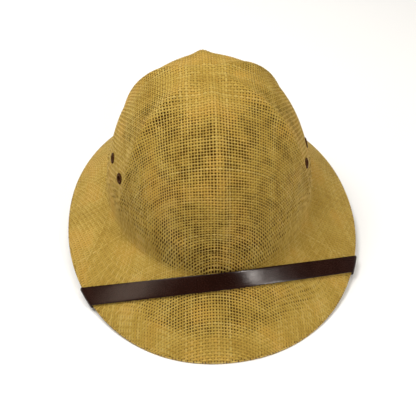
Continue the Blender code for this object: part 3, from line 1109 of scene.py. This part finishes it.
def rest_station(angle):
    """Station at which the hem's under face comes down to the bottom of the edge."""
    low = np.full_like(angle, REST_SEARCH_START)
    high = np.full_like(angle, EDGE)
    for _ in range(HALVINGS):
        middle = (low + high) / 2.0
        above = skin_point(angle, middle, HEM_THICKNESS)[0][..., 2] > edge_rise(angle)
        low = np.where(above, middle, low)
        high = np.where(above, high, middle)
    return low


def hem_rows(angle):
    """Rows of the hem band, from its hidden top face over the fold to its under face."""

    def skin(station, depth):
        return skin_point(angle, np.full_like(angle, station), depth)[0]

    normal = outward(angle, np.full_like(angle, EDGE))
    edge, rise = edge_point(angle), edge_rise(angle)
    away = edge - skin(NEAR_EDGE, 0.0)
    away[..., 2] = 0.0
    away /= np.linalg.norm(away, axis=-1, keepdims=True)
    bottom = np.stack([edge[..., 0], edge[..., 1], rise], axis=-1)
    centre = (edge + bottom) / 2.0 - away * HEM_SET_BACK
    half = (edge[..., 2:3] - bottom[..., 2:3]) / 2.0 * UP
    rows = [skin(station, depth) for station, depth in HEM_TOP_ROWS]
    rows.append(edge - normal * HEM_FOLD_DEPTH - away * HEM_SET_BACK)
    for turn in HEM_FOLD_TURNS:
        out = away * (HEM_SET_BACK + HEM_BULGE) * math.cos(turn)
        rows.append(centre + out + half * math.sin(turn))
    seat = rest_station(angle)
    under = skin_point(angle, seat, HEM_THICKNESS)[0]
    under[..., 2] = rise
    inner = HEM_START + HEM_UNDER_STEP
    rows += [mix(bottom, under, 0.15), under, skin_point(angle, mix(seat, inner, 0.5), HEM_THICKNESS)[0]]
    rows += [skin(inner, HEM_THICKNESS), skin(HEM_START, HEM_THICKNESS - HEM_TUCK)]
    return np.array(rows)


def build_hem(form_map, pitch, material):
    """One closed band: the sheet's edge turned under, with the weave's lines carried over it."""
    angle = np.arange(HEM_COLUMNS) * FULL_TURN / HEM_COLUMNS
    rows = hem_rows(angle)
    hem = mesh_object("straw_hem", rows.reshape(-1, 3), ring_faces(len(rows), HEM_COLUMNS, True))
    face_outwards(hem.data)
    reach = 1.0 - np.linalg.norm(rows - edge_point(angle), axis=-1) / form_map.length_at(angle)
    add_uv(hem.data, "strand_numbers", form_map.sheet_at(flat_places(angle, reach)) / pitch)
    hem.data.materials.append(material)
    hem.data.shade_smooth()
    settle(hem, "woven_straw")


def pressed_straw_material(name, settings, seen_from_under):
    """The same weave where it is pressed flat: its strands are drawn from their numbers, with painted shade
    in the gaps between them.
    """
    material, board = material_board(name)
    numbers = board.add("ShaderNodeUVMap", {"uv_map": "strand_numbers"})
    long_number, cross_number = board.part(numbers, "X"), board.part(numbers, "Y")
    long_wave = (long_number * math.pi).cosine()
    cross_wave = (cross_number * math.pi).cosine()
    over = long_wave * cross_wave * (-0.5 if seen_from_under else 0.5) + 0.5
    long_height = long_wave.size() * (PRESSED_LOW + PRESSED_RISE * over)
    cross_height = cross_wave.size() * (PRESSED_LOW + PRESSED_RISE * (1.0 - over))
    height = long_height.at_least(cross_height)
    on_long = board.spread(long_height - cross_height, -0.05, 0.05)
    long_tint, cross_tint = (
        board.add("ShaderNodeTexWhiteNoise", {"noise_dimensions": "1D"}, {"W": strand.floor()}, "Value")
        for strand in (long_number + 0.5, cross_number + CROSS_TINT_START)
    )
    tint = cross_tint * (1.0 - on_long) + long_tint * on_long
    fleck = board.noise(board.object_place(), PRESSED_FLECK_SIZE, 3.0, 0.6)
    shade = straw_shade(board, settings, tint, fleck, PRESSED_FLECK_SHARE)
    # Painted shade: the gaps between the drawn strands are darkened towards the shaded straw colour.
    gap = board.spread(height, *PRESSED_GAP_BAND, PRESSED_GAP_SHADE, 1.0)
    finish_material(
        board,
        {
            "Base Color": board.mix_colours(gap, opaque(settings.shadow), shade),
            "Roughness": board.uneven_roughness(
                fleck, settings.roughness, STRAW_UNEVENNESS, STRAW_UNEVENNESS
            ),
            "Specular IOR Level": 0.35,
            "Normal": board.bump(height + 0.12 * fleck, PRESSED_RELIEF, 0.8),
        },
    )
    return material


def shade_material(settings):
    """What shows through the weave: the top of the inner layer, a dark sheet painted in the shadow that falls
    inside the hat.
    """
    material, board = material_board("weave_shade")
    cloud = board.noise(board.object_place(), LAYER_CLOUD_SIZE, 3.0)
    deeper = [LAYER_DEEPER_SHARE * part for part in settings.shadow]
    colour = board.mix_colours(cloud, opaque(settings.shadow), opaque(deeper))
    finish_material(board, {"Base Color": colour, "Roughness": 0.9, "Specular IOR Level": 0.1})
    return material


# The inner layer: painted shade on top, seen through the weave, and pressed straw below

LAYER_COLUMNS = 260
LAYER_ROWS = 92
LAYER_START = 0.006
LAYER_END = 3.90
LAYER_TOP_DEPTH = 0.00128
# Clouds in the painted shade on the layer's top: their size, and how much darker the deeper ones are
LAYER_CLOUD_SIZE = 0.004
LAYER_DEEPER_SHARE = 0.45
EYELET_CUT = 0.0033
BORE_SIDES = 24
BORE_ABOVE = 0.004
BORE_BELOW = 0.006


def build_layer(form_map, pitch, materials):
    """Thin closed layer under the strands: painted shade above, pressed weave below, open at the eyelets."""
    angle = np.arange(LAYER_COLUMNS) * FULL_TURN / LAYER_COLUMNS
    shares, turns = np.meshgrid(np.linspace(LAYER_START, 1.0, LAYER_ROWS), angle, indexing="ij")
    tail = np.linalg.norm(form_point(turns, EDGE) - form_point(turns, LAYER_END), axis=-1)
    reach = shares * (1.0 - tail / form_map.length_at(turns))
    station = np.minimum(polar_look(form_map.stations, turns, reach), LAYER_END)
    upper = skin_point(turns, station, LAYER_TOP_DEPTH)[0]
    lower = skin_point(turns, station, SHEET_THICKNESS)[0]
    poles = np.stack([upper[0].mean(axis=0), lower[0].mean(axis=0)])
    vertices = np.concatenate([upper.reshape(-1, 3), lower.reshape(-1, 3), poles])
    count = LAYER_ROWS * LAYER_COLUMNS
    rim = count - LAYER_COLUMNS
    sheet = ring_faces(LAYER_ROWS, LAYER_COLUMNS)
    pairs = [(column, (column + 1) % LAYER_COLUMNS) for column in range(LAYER_COLUMNS)]
    top_faces = sheet + [(2 * count, beside, column) for column, beside in pairs]
    low_faces = [tuple(count + corner for corner in face[::-1]) for face in sheet]
    low_faces += [(2 * count + 1, count + column, count + beside) for column, beside in pairs]
    low_faces += [
        (rim + column, rim + beside, count + rim + beside, count + rim + column) for column, beside in pairs
    ]
    layer = mesh_object("straw_inner", vertices, top_faces + low_faces)
    face_outwards(layer.data)
    numbers = form_map.sheet_at(flat_places(turns, reach)) / pitch
    pole_number = numbers[:LAYER_COLUMNS].mean(axis=0, keepdims=True)
    add_uv(layer.data, "strand_numbers", np.concatenate([numbers, numbers, pole_number, pole_number]))
    for material in materials:
        layer.data.materials.append(material)
    # The top faces take the painted shade, the under faces the pressed straw
    layer.data.polygons.foreach_set("material_index", [0] * len(top_faces) + [1] * len(low_faces))
    layer.data.shade_smooth()
    for _, seat, axis in eyelet_seats():
        cut_bore(layer, seat, axis)
    settle(layer, "woven_straw")


def cut_bore(thing, seat, axis):
    """Cuts an eyelet's hole through a closed layer."""
    rim = seat + spokes(axis, BORE_SIDES) * EYELET_CUT
    ends = np.concatenate([rim + axis * BORE_ABOVE, rim - axis * BORE_BELOW])
    caps = [tuple(range(BORE_SIDES))[::-1], tuple(range(BORE_SIDES, 2 * BORE_SIDES))]
    cutter = mesh_object("bore_cutter", ends, ring_faces(2, BORE_SIDES) + caps)
    face_outwards(cutter.data)
    modifier = thing.modifiers.new("bore", "BOOLEAN")
    modifier.object = cutter
    modifier.operation = "DIFFERENCE"
    modifier.solver = "EXACT"
    thing.data = applied_mesh(thing, modifier)
    bpy.data.objects.remove(cutter, do_unlink=True)


# The chin strap

# Lanes across the strap and sections along it
STRAP_LANES = 9
STRAP_TOP_SECTIONS = 150
STRAP_FOLD_SECTIONS = 10
STRAP_UNDER_SECTIONS = 44

# Its rounded edges and its finish. The back's pattern starts at an offset from the face's.
STRAP_EDGE_ANGLE = math.radians(50.0)
STRAP_DARK_MARGIN = 0.0011
STRAP_BACK_OFFSET = 0.05
STRAP_FINE_SIZE = 0.0007
STRAP_CLOUD_SIZE = 0.020
STRAP_RELIEF = 0.00004

# The sections between which each end is sewn, and the thread
STITCH_SECTIONS = {"stitches_right": (2, 12), "stitches_left": (-13, -3)}
THREAD_PROUD = 0.2
THREAD_TWIST_SIZE = 0.0004
THREAD_RELIEF = 0.0001


def lane_value(table, lane):
    """Value for a lane of the strap: lane 0 is its front edge and 1 its rear edge."""
    return mix(np.asarray(table["front"], float), np.asarray(table["rear"], float), lane)


def top_seats(lane, shares):
    """Seats of a lane on the brim's top, from the wearer's right to the left, and the outward ways."""
    tables = (STRAP_RIGHT_DEGREES, STRAP_LEFT_DEGREES)
    start, end = (math.radians(float(lane_value(table, lane))) for table in tables)
    right, left = (skin_point(np.array(turn), np.array(EDGE))[0] for turn in (start, end))
    middle = lane_value(STRAP_MIDDLE, lane)
    normal = np.cross(left - middle, right - middle)
    angle = mix(start, end, shares)
    low = np.full_like(angle, STRAP_HIGHEST_STATION)
    high = np.full_like(angle, EDGE)
    side = (form_point(angle, low) - middle) @ normal
    for _ in range(HALVINGS):
        station = (low + high) / 2.0
        above = ((form_point(angle, station) - middle) @ normal) * side > 0.0
        low = np.where(above, station, low)
        high = np.where(above, high, station)
    station = (low + high) / 2.0
    away = outward(angle, station)
    return form_point(angle, station) + away * STRAP_GAP, away


def fold_seats(lane, table, shares):
    """Seats of a lane where it turns round the hem, from the top to the under side."""
    angle = np.full_like(shares, math.radians(float(lane_value(table, lane))))
    normal = outward(angle, np.full_like(shares, EDGE))
    along = form_point(angle, EDGE) - form_point(angle, NEAR_EDGE)
    along /= np.linalg.norm(along, axis=-1, keepdims=True)
    turn = (math.pi * shares)[:, None]
    away = normal * np.cos(turn) + along * np.sin(turn)
    centre = form_point(angle, EDGE) - normal * (HEM_THICKNESS / 2.0)
    return centre + away * (HEM_THICKNESS / 2.0 + STRAP_GAP), away


def under_seats(lane, table, shares):
    """Seats of a lane under the brim and up the inside of the crown."""
    rearward = 1.0 if table is STRAP_LEFT_DEGREES else -1.0
    on_brim = np.minimum(shares / STRAP_FOOT_SHARE, 1.0)
    on_fillet = np.clip((shares - STRAP_FOOT_SHARE) / (STRAP_FILLET_SHARE - STRAP_FOOT_SHARE), 0.0, 1.0)
    on_wall = np.maximum((shares - STRAP_FILLET_SHARE) / (1.0 - STRAP_FILLET_SHARE), 0.0)
    climbed = [station_at_height(height) for height in mix(FILLET_SIZE, STRAP_ANCHOR_HEIGHT, on_wall)]
    station = np.where(on_wall > 0.0, climbed, mix(EDGE, BRIM, on_brim) - on_fillet)
    crossing = math.radians(float(lane_value(table, lane)))
    centre = math.radians((table["front"] + table["rear"]) / 2.0)
    angle = mix(crossing, centre + rearward * STRAP_FOOT_SPREAD * (lane - 0.5), on_brim)
    angle = angle + rearward * (STRAP_BRIM_TURN * on_brim + STRAP_WALL_TURN * on_wall)
    away = -outward(angle, station)
    depth = mix(SHEET_THICKNESS, HEM_THICKNESS, smooth_step(station, *STRAP_HEM_EASE))
    inset = depth + STRAP_GAP - np.minimum(relief(angle, station), 0.0)
    return form_point(angle, station) + away * inset[:, None], away


def strap_rows():
    """Seats of the strap by section and lane, and the way off the shell at each section."""
    lanes = np.linspace(0.0, 1.0, STRAP_LANES)
    under = np.arange(1, STRAP_UNDER_SECTIONS + 1) / STRAP_UNDER_SECTIONS
    fold = np.arange(1, STRAP_FOLD_SECTIONS + 1) / STRAP_FOLD_SECTIONS
    top = np.arange(STRAP_TOP_SECTIONS + 1) / STRAP_TOP_SECTIONS
    sections = []
    for seats, table, shares in (
        (under_seats, STRAP_RIGHT_DEGREES, under[::-1]),
        (fold_seats, STRAP_RIGHT_DEGREES, fold[::-1]),
        (top_seats, None, top),
        (fold_seats, STRAP_LEFT_DEGREES, fold),
        (under_seats, STRAP_LEFT_DEGREES, under),
    ):
        found = [seats(lane, shares) if table is None else seats(lane, table, shares) for lane in lanes]
        places = np.stack([place for place, _ in found], axis=1)
        away = found[STRAP_LANES // 2][1]
        if table is None:
            chord = mix(places[:, :1], places[:, -1:], lanes[None, :, None])
            lift = np.maximum(((chord - places) * away[:, None]).sum(-1), 0.0)
            places = places + away[:, None] * lift[..., None]
        sections.append((places, away))
    places, away = zip(*sections)
    return np.concatenate(places), np.concatenate(away)


def strap_ways(places, away):
    """Direction off the strap's face at each section."""
    before = np.concatenate([places[:1], places[:-1]])
    after = np.concatenate([places[1:], places[-1:]])
    middle = STRAP_LANES // 2
    normal = np.cross(places[:, -1] - places[:, 0], after[:, middle] - before[:, middle])
    normal /= np.linalg.norm(normal, axis=-1, keepdims=True)
    return normal * np.sign((normal * away).sum(-1, keepdims=True))


def strap_material(settings):
    """Glossy grained leather-look, with a darker edge."""
    material, board = material_board("strap_leather")
    along = board.add("ShaderNodeUVMap", {"uv_map": "strap_length"})
    grain = board.add(
        "ShaderNodeTexVoronoi",
        {"feature": "DISTANCE_TO_EDGE"},
        {"Vector": along, "Scale": 1.0 / settings.grain, "Randomness": 1.0},
        "Distance",
    )
    cells = board.spread(grain, 0.0, 0.22)
    fine = board.noise(along, STRAP_FINE_SIZE, 3.0, 0.6)
    cloud = board.noise(board.object_place(), STRAP_CLOUD_SIZE, 3.0)
    height = 0.45 * cloud + 0.35 * cells + 0.20 * fine
    colour = board.ramp(height, (0.25, settings.dark), (0.75, settings.brown))
    edge = board.spread(board.attribute("strap_margin"), 0.0, STRAP_DARK_MARGIN, 0.6, 0.0)
    patchy = fine + 0.4 * (cloud - 0.5)
    finish_material(
        board,
        {
            "Base Color": board.mix_colours(edge, colour, opaque(settings.dark)),
            "Roughness": board.uneven_roughness(patchy, settings.roughness, 0.05, 0.09),
            "Specular IOR Level": 0.30,
            "Normal": board.bump(0.7 * cells + 0.3 * fine, STRAP_RELIEF, 0.40),
        },
    )
    return material


class StrapSettings(PropertyGroup):
    thickness: FloatProperty(
        name="Thickness", description="Thickness of the strap", default=0.0014, unit="LENGTH", precision=5
    )
    edge_round: FloatProperty(
        name="Edge round",
        description="Rounding of the strap's edges",
        default=0.00040,
        unit="LENGTH",
        precision=5,
    )
    grain: FloatProperty(
        name="Grain", description="Size of the grain's cells", default=0.00065, unit="LENGTH", precision=5
    )
    brown: FloatVectorProperty(
        name="Brown",
        description="Colour of the raised grain",
        default=(0.023, 0.0048, 0.0012),
        subtype="COLOR",
        size=3,
    )
    dark: FloatVectorProperty(
        name="Dark",
        description="Colour of the creases and edges",
        default=(0.0085, 0.0018, 0.0007),
        subtype="COLOR",
        size=3,
    )
    roughness: FloatProperty(name="Roughness", description="Mean roughness", default=0.23, subtype="FACTOR")
    stitch_length: FloatProperty(
        name="Stitch", description="Length of a stitch", default=0.0024, unit="LENGTH", precision=5
    )
    stitch_gap: FloatProperty(
        name="Stitch pitch",
        description="Distance from stitch to stitch",
        default=0.0033,
        unit="LENGTH",
        precision=5,
    )
    stitch_width: FloatProperty(
        name="Thread", description="Thickness of the thread", default=0.0006, unit="LENGTH", precision=5
    )
    thread: FloatVectorProperty(
        name="Thread colour",
        description="Colour of the stitches",
        default=(0.030, 0.014, 0.010),
        subtype="COLOR",
        size=3,
    )


class HELMET_OT_cut_strap(Operator):
    """Cut the chin strap and lay it over the brim and under it"""

    bl_idname = "helmet.cut_strap"
    bl_label = "Cut strap"

    def execute(self, context):
        settings = context.scene.helmet_strap
        places, away = strap_rows()
        ways = strap_ways(places, away)
        faced = places + ways[:, None] * settings.thickness
        rings = np.concatenate([places, faced[:, ::-1]], axis=1)
        sections, columns, _ = rings.shape
        faces = ring_faces(sections, columns)
        for start in (0, (sections - 1) * columns):
            for lane in range(STRAP_LANES - 1):
                cap = (start + lane, start + lane + 1, start + columns - 2 - lane, start + columns - 1 - lane)
                faces.append(cap if start else cap[::-1])
        strap = mesh_object("chin_strap_leather", rings.reshape(-1, 3), faces)
        self.measure(strap.data, places)
        face_outwards(strap.data)
        strap.data.materials.append(strap_material(settings))
        strap.data.shade_smooth()
        bevel = strap.modifiers.new("edge_round", "BEVEL")
        bevel.width = settings.edge_round
        bevel.segments = 3
        bevel.limit_method = "ANGLE"
        bevel.angle_limit = STRAP_EDGE_ANGLE
        settle(strap, "strap_leather", "chin_strap")
        self.sew_ends(settings, faced, ways)
        return {"FINISHED"}

    @staticmethod
    def measure(mesh, places):
        """Lengths along and across the strap as its UV map, and how far each point is from an edge."""
        middle = places[:, STRAP_LANES // 2 : STRAP_LANES // 2 + 1]
        steps = np.linalg.norm(np.diff(middle[:, 0], axis=0), axis=1)
        run = np.concatenate([[0.0], np.cumsum(steps)])
        widths = np.linalg.norm(places - middle, axis=-1)
        margin = widths.max(axis=1, keepdims=True) - widths
        widths = widths * np.sign(np.linspace(-1.0, 1.0, STRAP_LANES))
        over = np.concatenate([widths, widths[:, ::-1] + STRAP_BACK_OFFSET], axis=1)
        along = np.broadcast_to(run[:, None], over.shape)
        add_uv(mesh, "strap_length", np.stack([along, over], axis=-1).reshape(-1, 2))
        add_values(mesh, "strap_margin", "FLOAT", np.concatenate([margin, margin[:, ::-1]], axis=1))

    @staticmethod
    def sew_ends(settings, faced, ways):
        """A box of stitches through each end, inside the crown."""
        inputs = {
            "Stitch Length": settings.stitch_length,
            "Stitch Pitch": settings.stitch_gap,
            "Thread Width": settings.stitch_width,
            "Thread": thread_material(settings),
        }
        tree = stitch_tree(inputs)
        low, high = 1, STRAP_LANES - 2
        for name, ends in STITCH_SECTIONS.items():
            first, last = (section % len(faced) for section in ends)
            loop = [(section, low) for section in range(first, last)]
            loop += [(last, lane) for lane in range(low, high)]
            loop += [(section, high) for section in range(last, first, -1)]
            loop += [(first, lane) for lane in range(high, low, -1)]
            proud = settings.stitch_width * THREAD_PROUD
            points = [faced[section, lane] + ways[section] * proud for section, lane in loop]
            edges = [(index, (index + 1) % len(loop)) for index in range(len(loop))]
            source = mesh_object(name + "_line", points, [], edges)
            add_values(source.data, "face_way", "FLOAT_VECTOR", [ways[section] for section, _ in loop])
            settle(grown_piece(name, source, tree, inputs), "strap_leather")


def stitch_tree(inputs):
    """Sets stitches in a row along a line."""
    tree, board, given = geometry_board("stitch_row", inputs)
    line = board.add("GeometryNodeMeshToCurve", None, {"Mesh": given})
    sockets = {"Curve": line, "Length": given.output("Stitch Pitch")}
    spaced = board.add("GeometryNodeResampleCurve", {"mode": "LENGTH"}, sockets)
    turn = board.add(
        "FunctionNodeAxesToRotation",
        {"primary_axis": "X", "secondary_axis": "Z"},
        {
            "Primary Axis": board.add("GeometryNodeInputTangent"),
            "Secondary Axis": board.stored("face_way", "FLOAT_VECTOR"),
        },
    )
    ball = board.add("GeometryNodeMeshUVSphere", None, {"Segments": 8, "Rings": 6, "Radius": 0.5})
    thread = given.output("Thread Width")
    size = board.vector(given.output("Stitch Length"), thread, thread)
    sockets = {"Points": spaced, "Instance": ball, "Rotation": turn, "Scale": size}
    stitches = board.add("GeometryNodeInstanceOnPoints", None, sockets)
    finish_geometry(board, stitches, given.output("Thread"))
    return tree


def thread_material(settings):
    """Twisted sewing thread."""
    material, board = material_board("sewing_thread")
    twist = board.noise(board.object_place(), THREAD_TWIST_SIZE)
    paler = [2.2 * part for part in settings.thread]
    colour = board.mix_colours(twist, opaque(settings.thread), opaque(paler))
    strands = board.bump(twist, THREAD_RELIEF, 0.5)
    finish_material(board, {"Base Color": colour, "Roughness": 0.55, "Normal": strands})
    return material


# The eyelets

SCUFF_SIZE = 0.0012
SCUFF_RELIEF = 0.00006

# Each row is a radius, a height along the axis, and how much the place is rubbed, from 0 to 1
EYELET_PROFILE = (
    (0.00250, -0.00010, 0.3),
    (0.00256, 0.00040, 0.8),
    (0.00282, 0.00070, 1.0),
    (0.00325, 0.00084, 0.9),
    (0.00380, 0.00082, 0.5),
    (0.00430, 0.00066, 0.4),
    (0.00470, 0.00040, 0.7),
    (0.00492, 0.00014, 1.0),
    (0.00496, -0.00010, 0.8),
    (0.00485, -0.00030, 0.2),
    (0.00340, -0.00034, 0.0),
    (0.00320, -0.00060, 0.0),
    (0.00320, -0.00215, 0.0),
    (0.00350, -0.00240, 0.1),
    (0.00430, -0.00240, 0.3),
    (0.00452, -0.00255, 0.8),
    (0.00445, -0.00282, 1.0),
    (0.00400, -0.00300, 0.6),
    (0.00310, -0.00306, 0.5),
    (0.00262, -0.00290, 0.8),
    (0.00252, -0.00240, 0.4),
    (0.00250, -0.00100, 0.1),
)


def eyelet_material(settings):
    """Brown lacquer, rubbed thinner on the rims."""
    material, board = material_board("eyelet_metal")
    scuff = board.noise(board.object_place(), SCUFF_SIZE, 3.0, 0.65)
    worn = board.spread(board.attribute("eyelet_rim") + 0.9 * (scuff - 0.5), 0.85, 1.15)
    finish_material(
        board,
        {
            "Base Color": board.mix_colours(worn, opaque(settings.lacquer), opaque(settings.metal)),
            "Metallic": board.spread(worn, 0.0, 1.0, 0.0, 0.35),
            "Specular IOR Level": 0.03,
            "Roughness": board.uneven_roughness(scuff, settings.roughness, 0.06, 0.10),
            "Normal": board.bump(scuff, SCUFF_RELIEF, 0.4),
        },
    )
    return material


class EyeletSettings(PropertyGroup):
    segments: IntProperty(name="Segments", description="Facets round an eyelet", default=48, min=12, max=96)
    lacquer: FloatVectorProperty(
        name="Lacquer",
        description="Colour of the lacquer",
        default=(0.055, 0.020, 0.006),
        subtype="COLOR",
        size=3,
    )
    metal: FloatVectorProperty(
        name="Bare metal",
        description="Colour where it is rubbed",
        default=(0.170, 0.090, 0.024),
        subtype="COLOR",
        size=3,
    )
    roughness: FloatProperty(name="Roughness", description="Mean roughness", default=0.58, subtype="FACTOR")


class HELMET_OT_set_eyelets(Operator):
    """Set the four vent eyelets in the crown's wall"""

    bl_idname = "helmet.set_eyelets"
    bl_label = "Set eyelets"

    def execute(self, context):
        settings = context.scene.helmet_eyelet
        material = eyelet_material(settings)
        rims = np.repeat([rim for _, _, rim in EYELET_PROFILE], settings.segments)
        for node, seat, axis in eyelet_seats():
            spoke = spokes(axis, settings.segments)
            rows = np.array([seat + spoke * radius + axis * height for radius, height, _ in EYELET_PROFILE])
            faces = ring_faces(len(rows), settings.segments, True)
            piece = mesh_object(node + "_ring", rows.reshape(-1, 3), faces)
            add_values(piece.data, "eyelet_rim", "FLOAT", rims)
            face_outwards(piece.data)
            piece.data.materials.append(material)
            piece.data.shade_smooth()
            settle(piece, "eyelet_metal", node)
        return {"FINISHED"}


# The stage

FLOOR_REACH = 3.0
HORIZON_BAND = (0.10, 0.42)

# Name, size, place, target and colour of each light
LIGHTS = (
    ("key", 0.7, (-0.55, 0.25, 1.25), (0.0, 0.0, 0.05), (1.0, 0.99, 0.96)),
    ("glint", 0.14, (0.65, -0.665, 0.75), (0.025, -0.105, 0.04), (1.0, 0.94, 0.88)),
    ("sheen", 0.30, (-0.87, -0.29, 0.79), (-0.1, -0.09, 0.02), (1.0, 0.80, 0.64)),
    ("overhead", 1.6, (0.0, 0.55, 1.6), (0.0, 0.0, 0.0), (1.0, 1.0, 1.0)),
    ("fill", 0.45, (0.25, 0.10, 1.3), (0.0, 0.0, 0.05), (1.0, 0.94, 0.80)),
)


class StageSettings(PropertyGroup):
    floor: FloatVectorProperty(
        name="Floor", description="Colour of the floor", default=(0.90, 0.90, 0.90), subtype="COLOR", size=3
    )
    key_power: FloatProperty(
        name="Key light", description="Power of the key light", default=14.6, unit="POWER"
    )
    fill_power: FloatProperty(
        name="Fill light", description="Power of the fill light", default=2.8, unit="POWER"
    )
    overhead_power: FloatProperty(
        name="Overhead light", description="Power of the wide light overhead", default=5.5, unit="POWER"
    )
    glint_power: FloatProperty(
        name="Glint",
        description="Power of the small light that shows in the strap's middle",
        default=4.9,
        unit="POWER",
    )
    sheen_power: FloatProperty(
        name="Sheen",
        description="Power of the light that shows in the strap at the wearer's right",
        default=1.4,
        unit="POWER",
    )
    horizon: FloatProperty(name="Horizon", description="Strength of the light from low down", default=0.28)
    sky: FloatProperty(name="Sky", description="Strength of the light from all round", default=0.09)


def add_light(name, power, size, place, target, colour):
    data = bpy.data.lights.new(name, "AREA")
    data.shape = "DISK"
    data.size = size
    data.energy = power
    data.color = colour
    light = bpy.data.objects.new(name, data)
    light.location = place
    light.rotation_euler = (Vector(target) - Vector(place)).to_track_quat("-Z", "Y").to_euler()
    bpy.context.scene.collection.objects.link(light)


def light_the_sky(scene, horizon, sky):
    """Soft light from all round, stronger from low down."""
    world = bpy.data.worlds.new("studio")
    world.use_nodes = True
    board = Board(world.node_tree)
    height = board.part(board.add("ShaderNodeTexCoord", output="Generated"), "Z")
    strength = board.spread(height, *HORIZON_BAND, horizon, sky)
    background = world.node_tree.nodes["Background"]
    background.inputs["Color"].default_value = opaque((1.0, 1.0, 1.0))
    world.node_tree.links.new(strength.socket, background.inputs["Strength"])
    scene.world = world


def add_camera():
    """Camera in front of the hat and above it, at the photo's angle."""
    back = Vector(
        (
            -math.sin(CAMERA_YAW) * math.cos(CAMERA_ELEVATION),
            -math.cos(CAMERA_YAW) * math.cos(CAMERA_ELEVATION),
            math.sin(CAMERA_ELEVATION),
        )
    )
    right = (-back).cross(Vector(UP)).normalized()
    up = right.cross(-back)
    turned_right = right * math.cos(CAMERA_ROLL) + up * math.sin(CAMERA_ROLL)
    turned_up = up * math.cos(CAMERA_ROLL) - right * math.sin(CAMERA_ROLL)
    data = bpy.data.cameras.new("photo_camera")
    data.sensor_width = CAMERA_SENSOR
    data.lens = CAMERA_LENS
    data.clip_start = 0.01
    camera = bpy.data.objects.new("photo_camera", data)
    turn = Matrix((turned_right, turned_up, back)).transposed()
    camera.matrix_world = Matrix.Translation(Vector(CAMERA_TARGET) + back * CAMERA_DISTANCE) @ turn.to_4x4()
    bpy.context.scene.collection.objects.link(camera)
    bpy.context.scene.camera = camera


class HELMET_OT_set_stage(Operator):
    """Set the floor, the lights and the camera"""

    bl_idname = "helmet.set_stage"
    bl_label = "Set stage"

    def execute(self, context):
        settings = context.scene.helmet_stage
        corners = [(x * FLOOR_REACH, y * FLOOR_REACH, 0.0) for x, y in ((-1, -1), (1, -1), (1, 1), (-1, 1))]
        floor = mesh_object("floor", corners, [(0, 1, 2, 3)])
        material, board = material_board("pale_floor")
        finish_material(board, {"Base Color": opaque(settings.floor), "Roughness": 0.9})
        floor.data.materials.append(material)
        for name, size, place, target, colour in LIGHTS:
            add_light(name, getattr(settings, name + "_power"), size, place, target, colour)
        light_the_sky(context.scene, settings.horizon, settings.sky)
        context.scene.view_settings.view_transform = "Standard"
        add_camera()
        return {"FINISHED"}


# The add-on


class HELMET_PT_sidebar(Panel):
    """Sizes and colours of the helmet, and the steps that make it"""

    bl_label = "Straw sun helmet"
    bl_idname = "HELMET_PT_sidebar"
    bl_space_type = "VIEW_3D"
    bl_region_type = "UI"
    bl_category = "Helmet"

    def draw(self, context):
        for name, (_, maker) in STEPS.items():
            box = self.layout.box()
            settings = getattr(context.scene, name)
            for key in settings.bl_rna.properties.keys():
                if key not in ("rna_type", "name"):
                    box.prop(settings, key)
            box.operator(maker.bl_idname)


STEPS = {
    "helmet_straw": (StrawSettings, HELMET_OT_weave_straw),
    "helmet_strap": (StrapSettings, HELMET_OT_cut_strap),
    "helmet_eyelet": (EyeletSettings, HELMET_OT_set_eyelets),
    "helmet_stage": (StageSettings, HELMET_OT_set_stage),
}
CLASSES = [item for step in STEPS.values() for item in step] + [HELMET_PT_sidebar]


def register():
    for item in CLASSES:
        bpy.utils.register_class(item)
    for name, (kind, _) in STEPS.items():
        setattr(bpy.types.Scene, name, PointerProperty(type=kind))


def unregister():
    for name in STEPS:
        delattr(bpy.types.Scene, name)
    for item in reversed(CLASSES):
        bpy.utils.unregister_class(item)


def main():
    register()
    bpy.ops.helmet.set_stage()
    bpy.ops.helmet.weave_straw()
    bpy.ops.helmet.cut_strap()
    bpy.ops.helmet.set_eyelets()


if __name__ == "__main__":
    main()
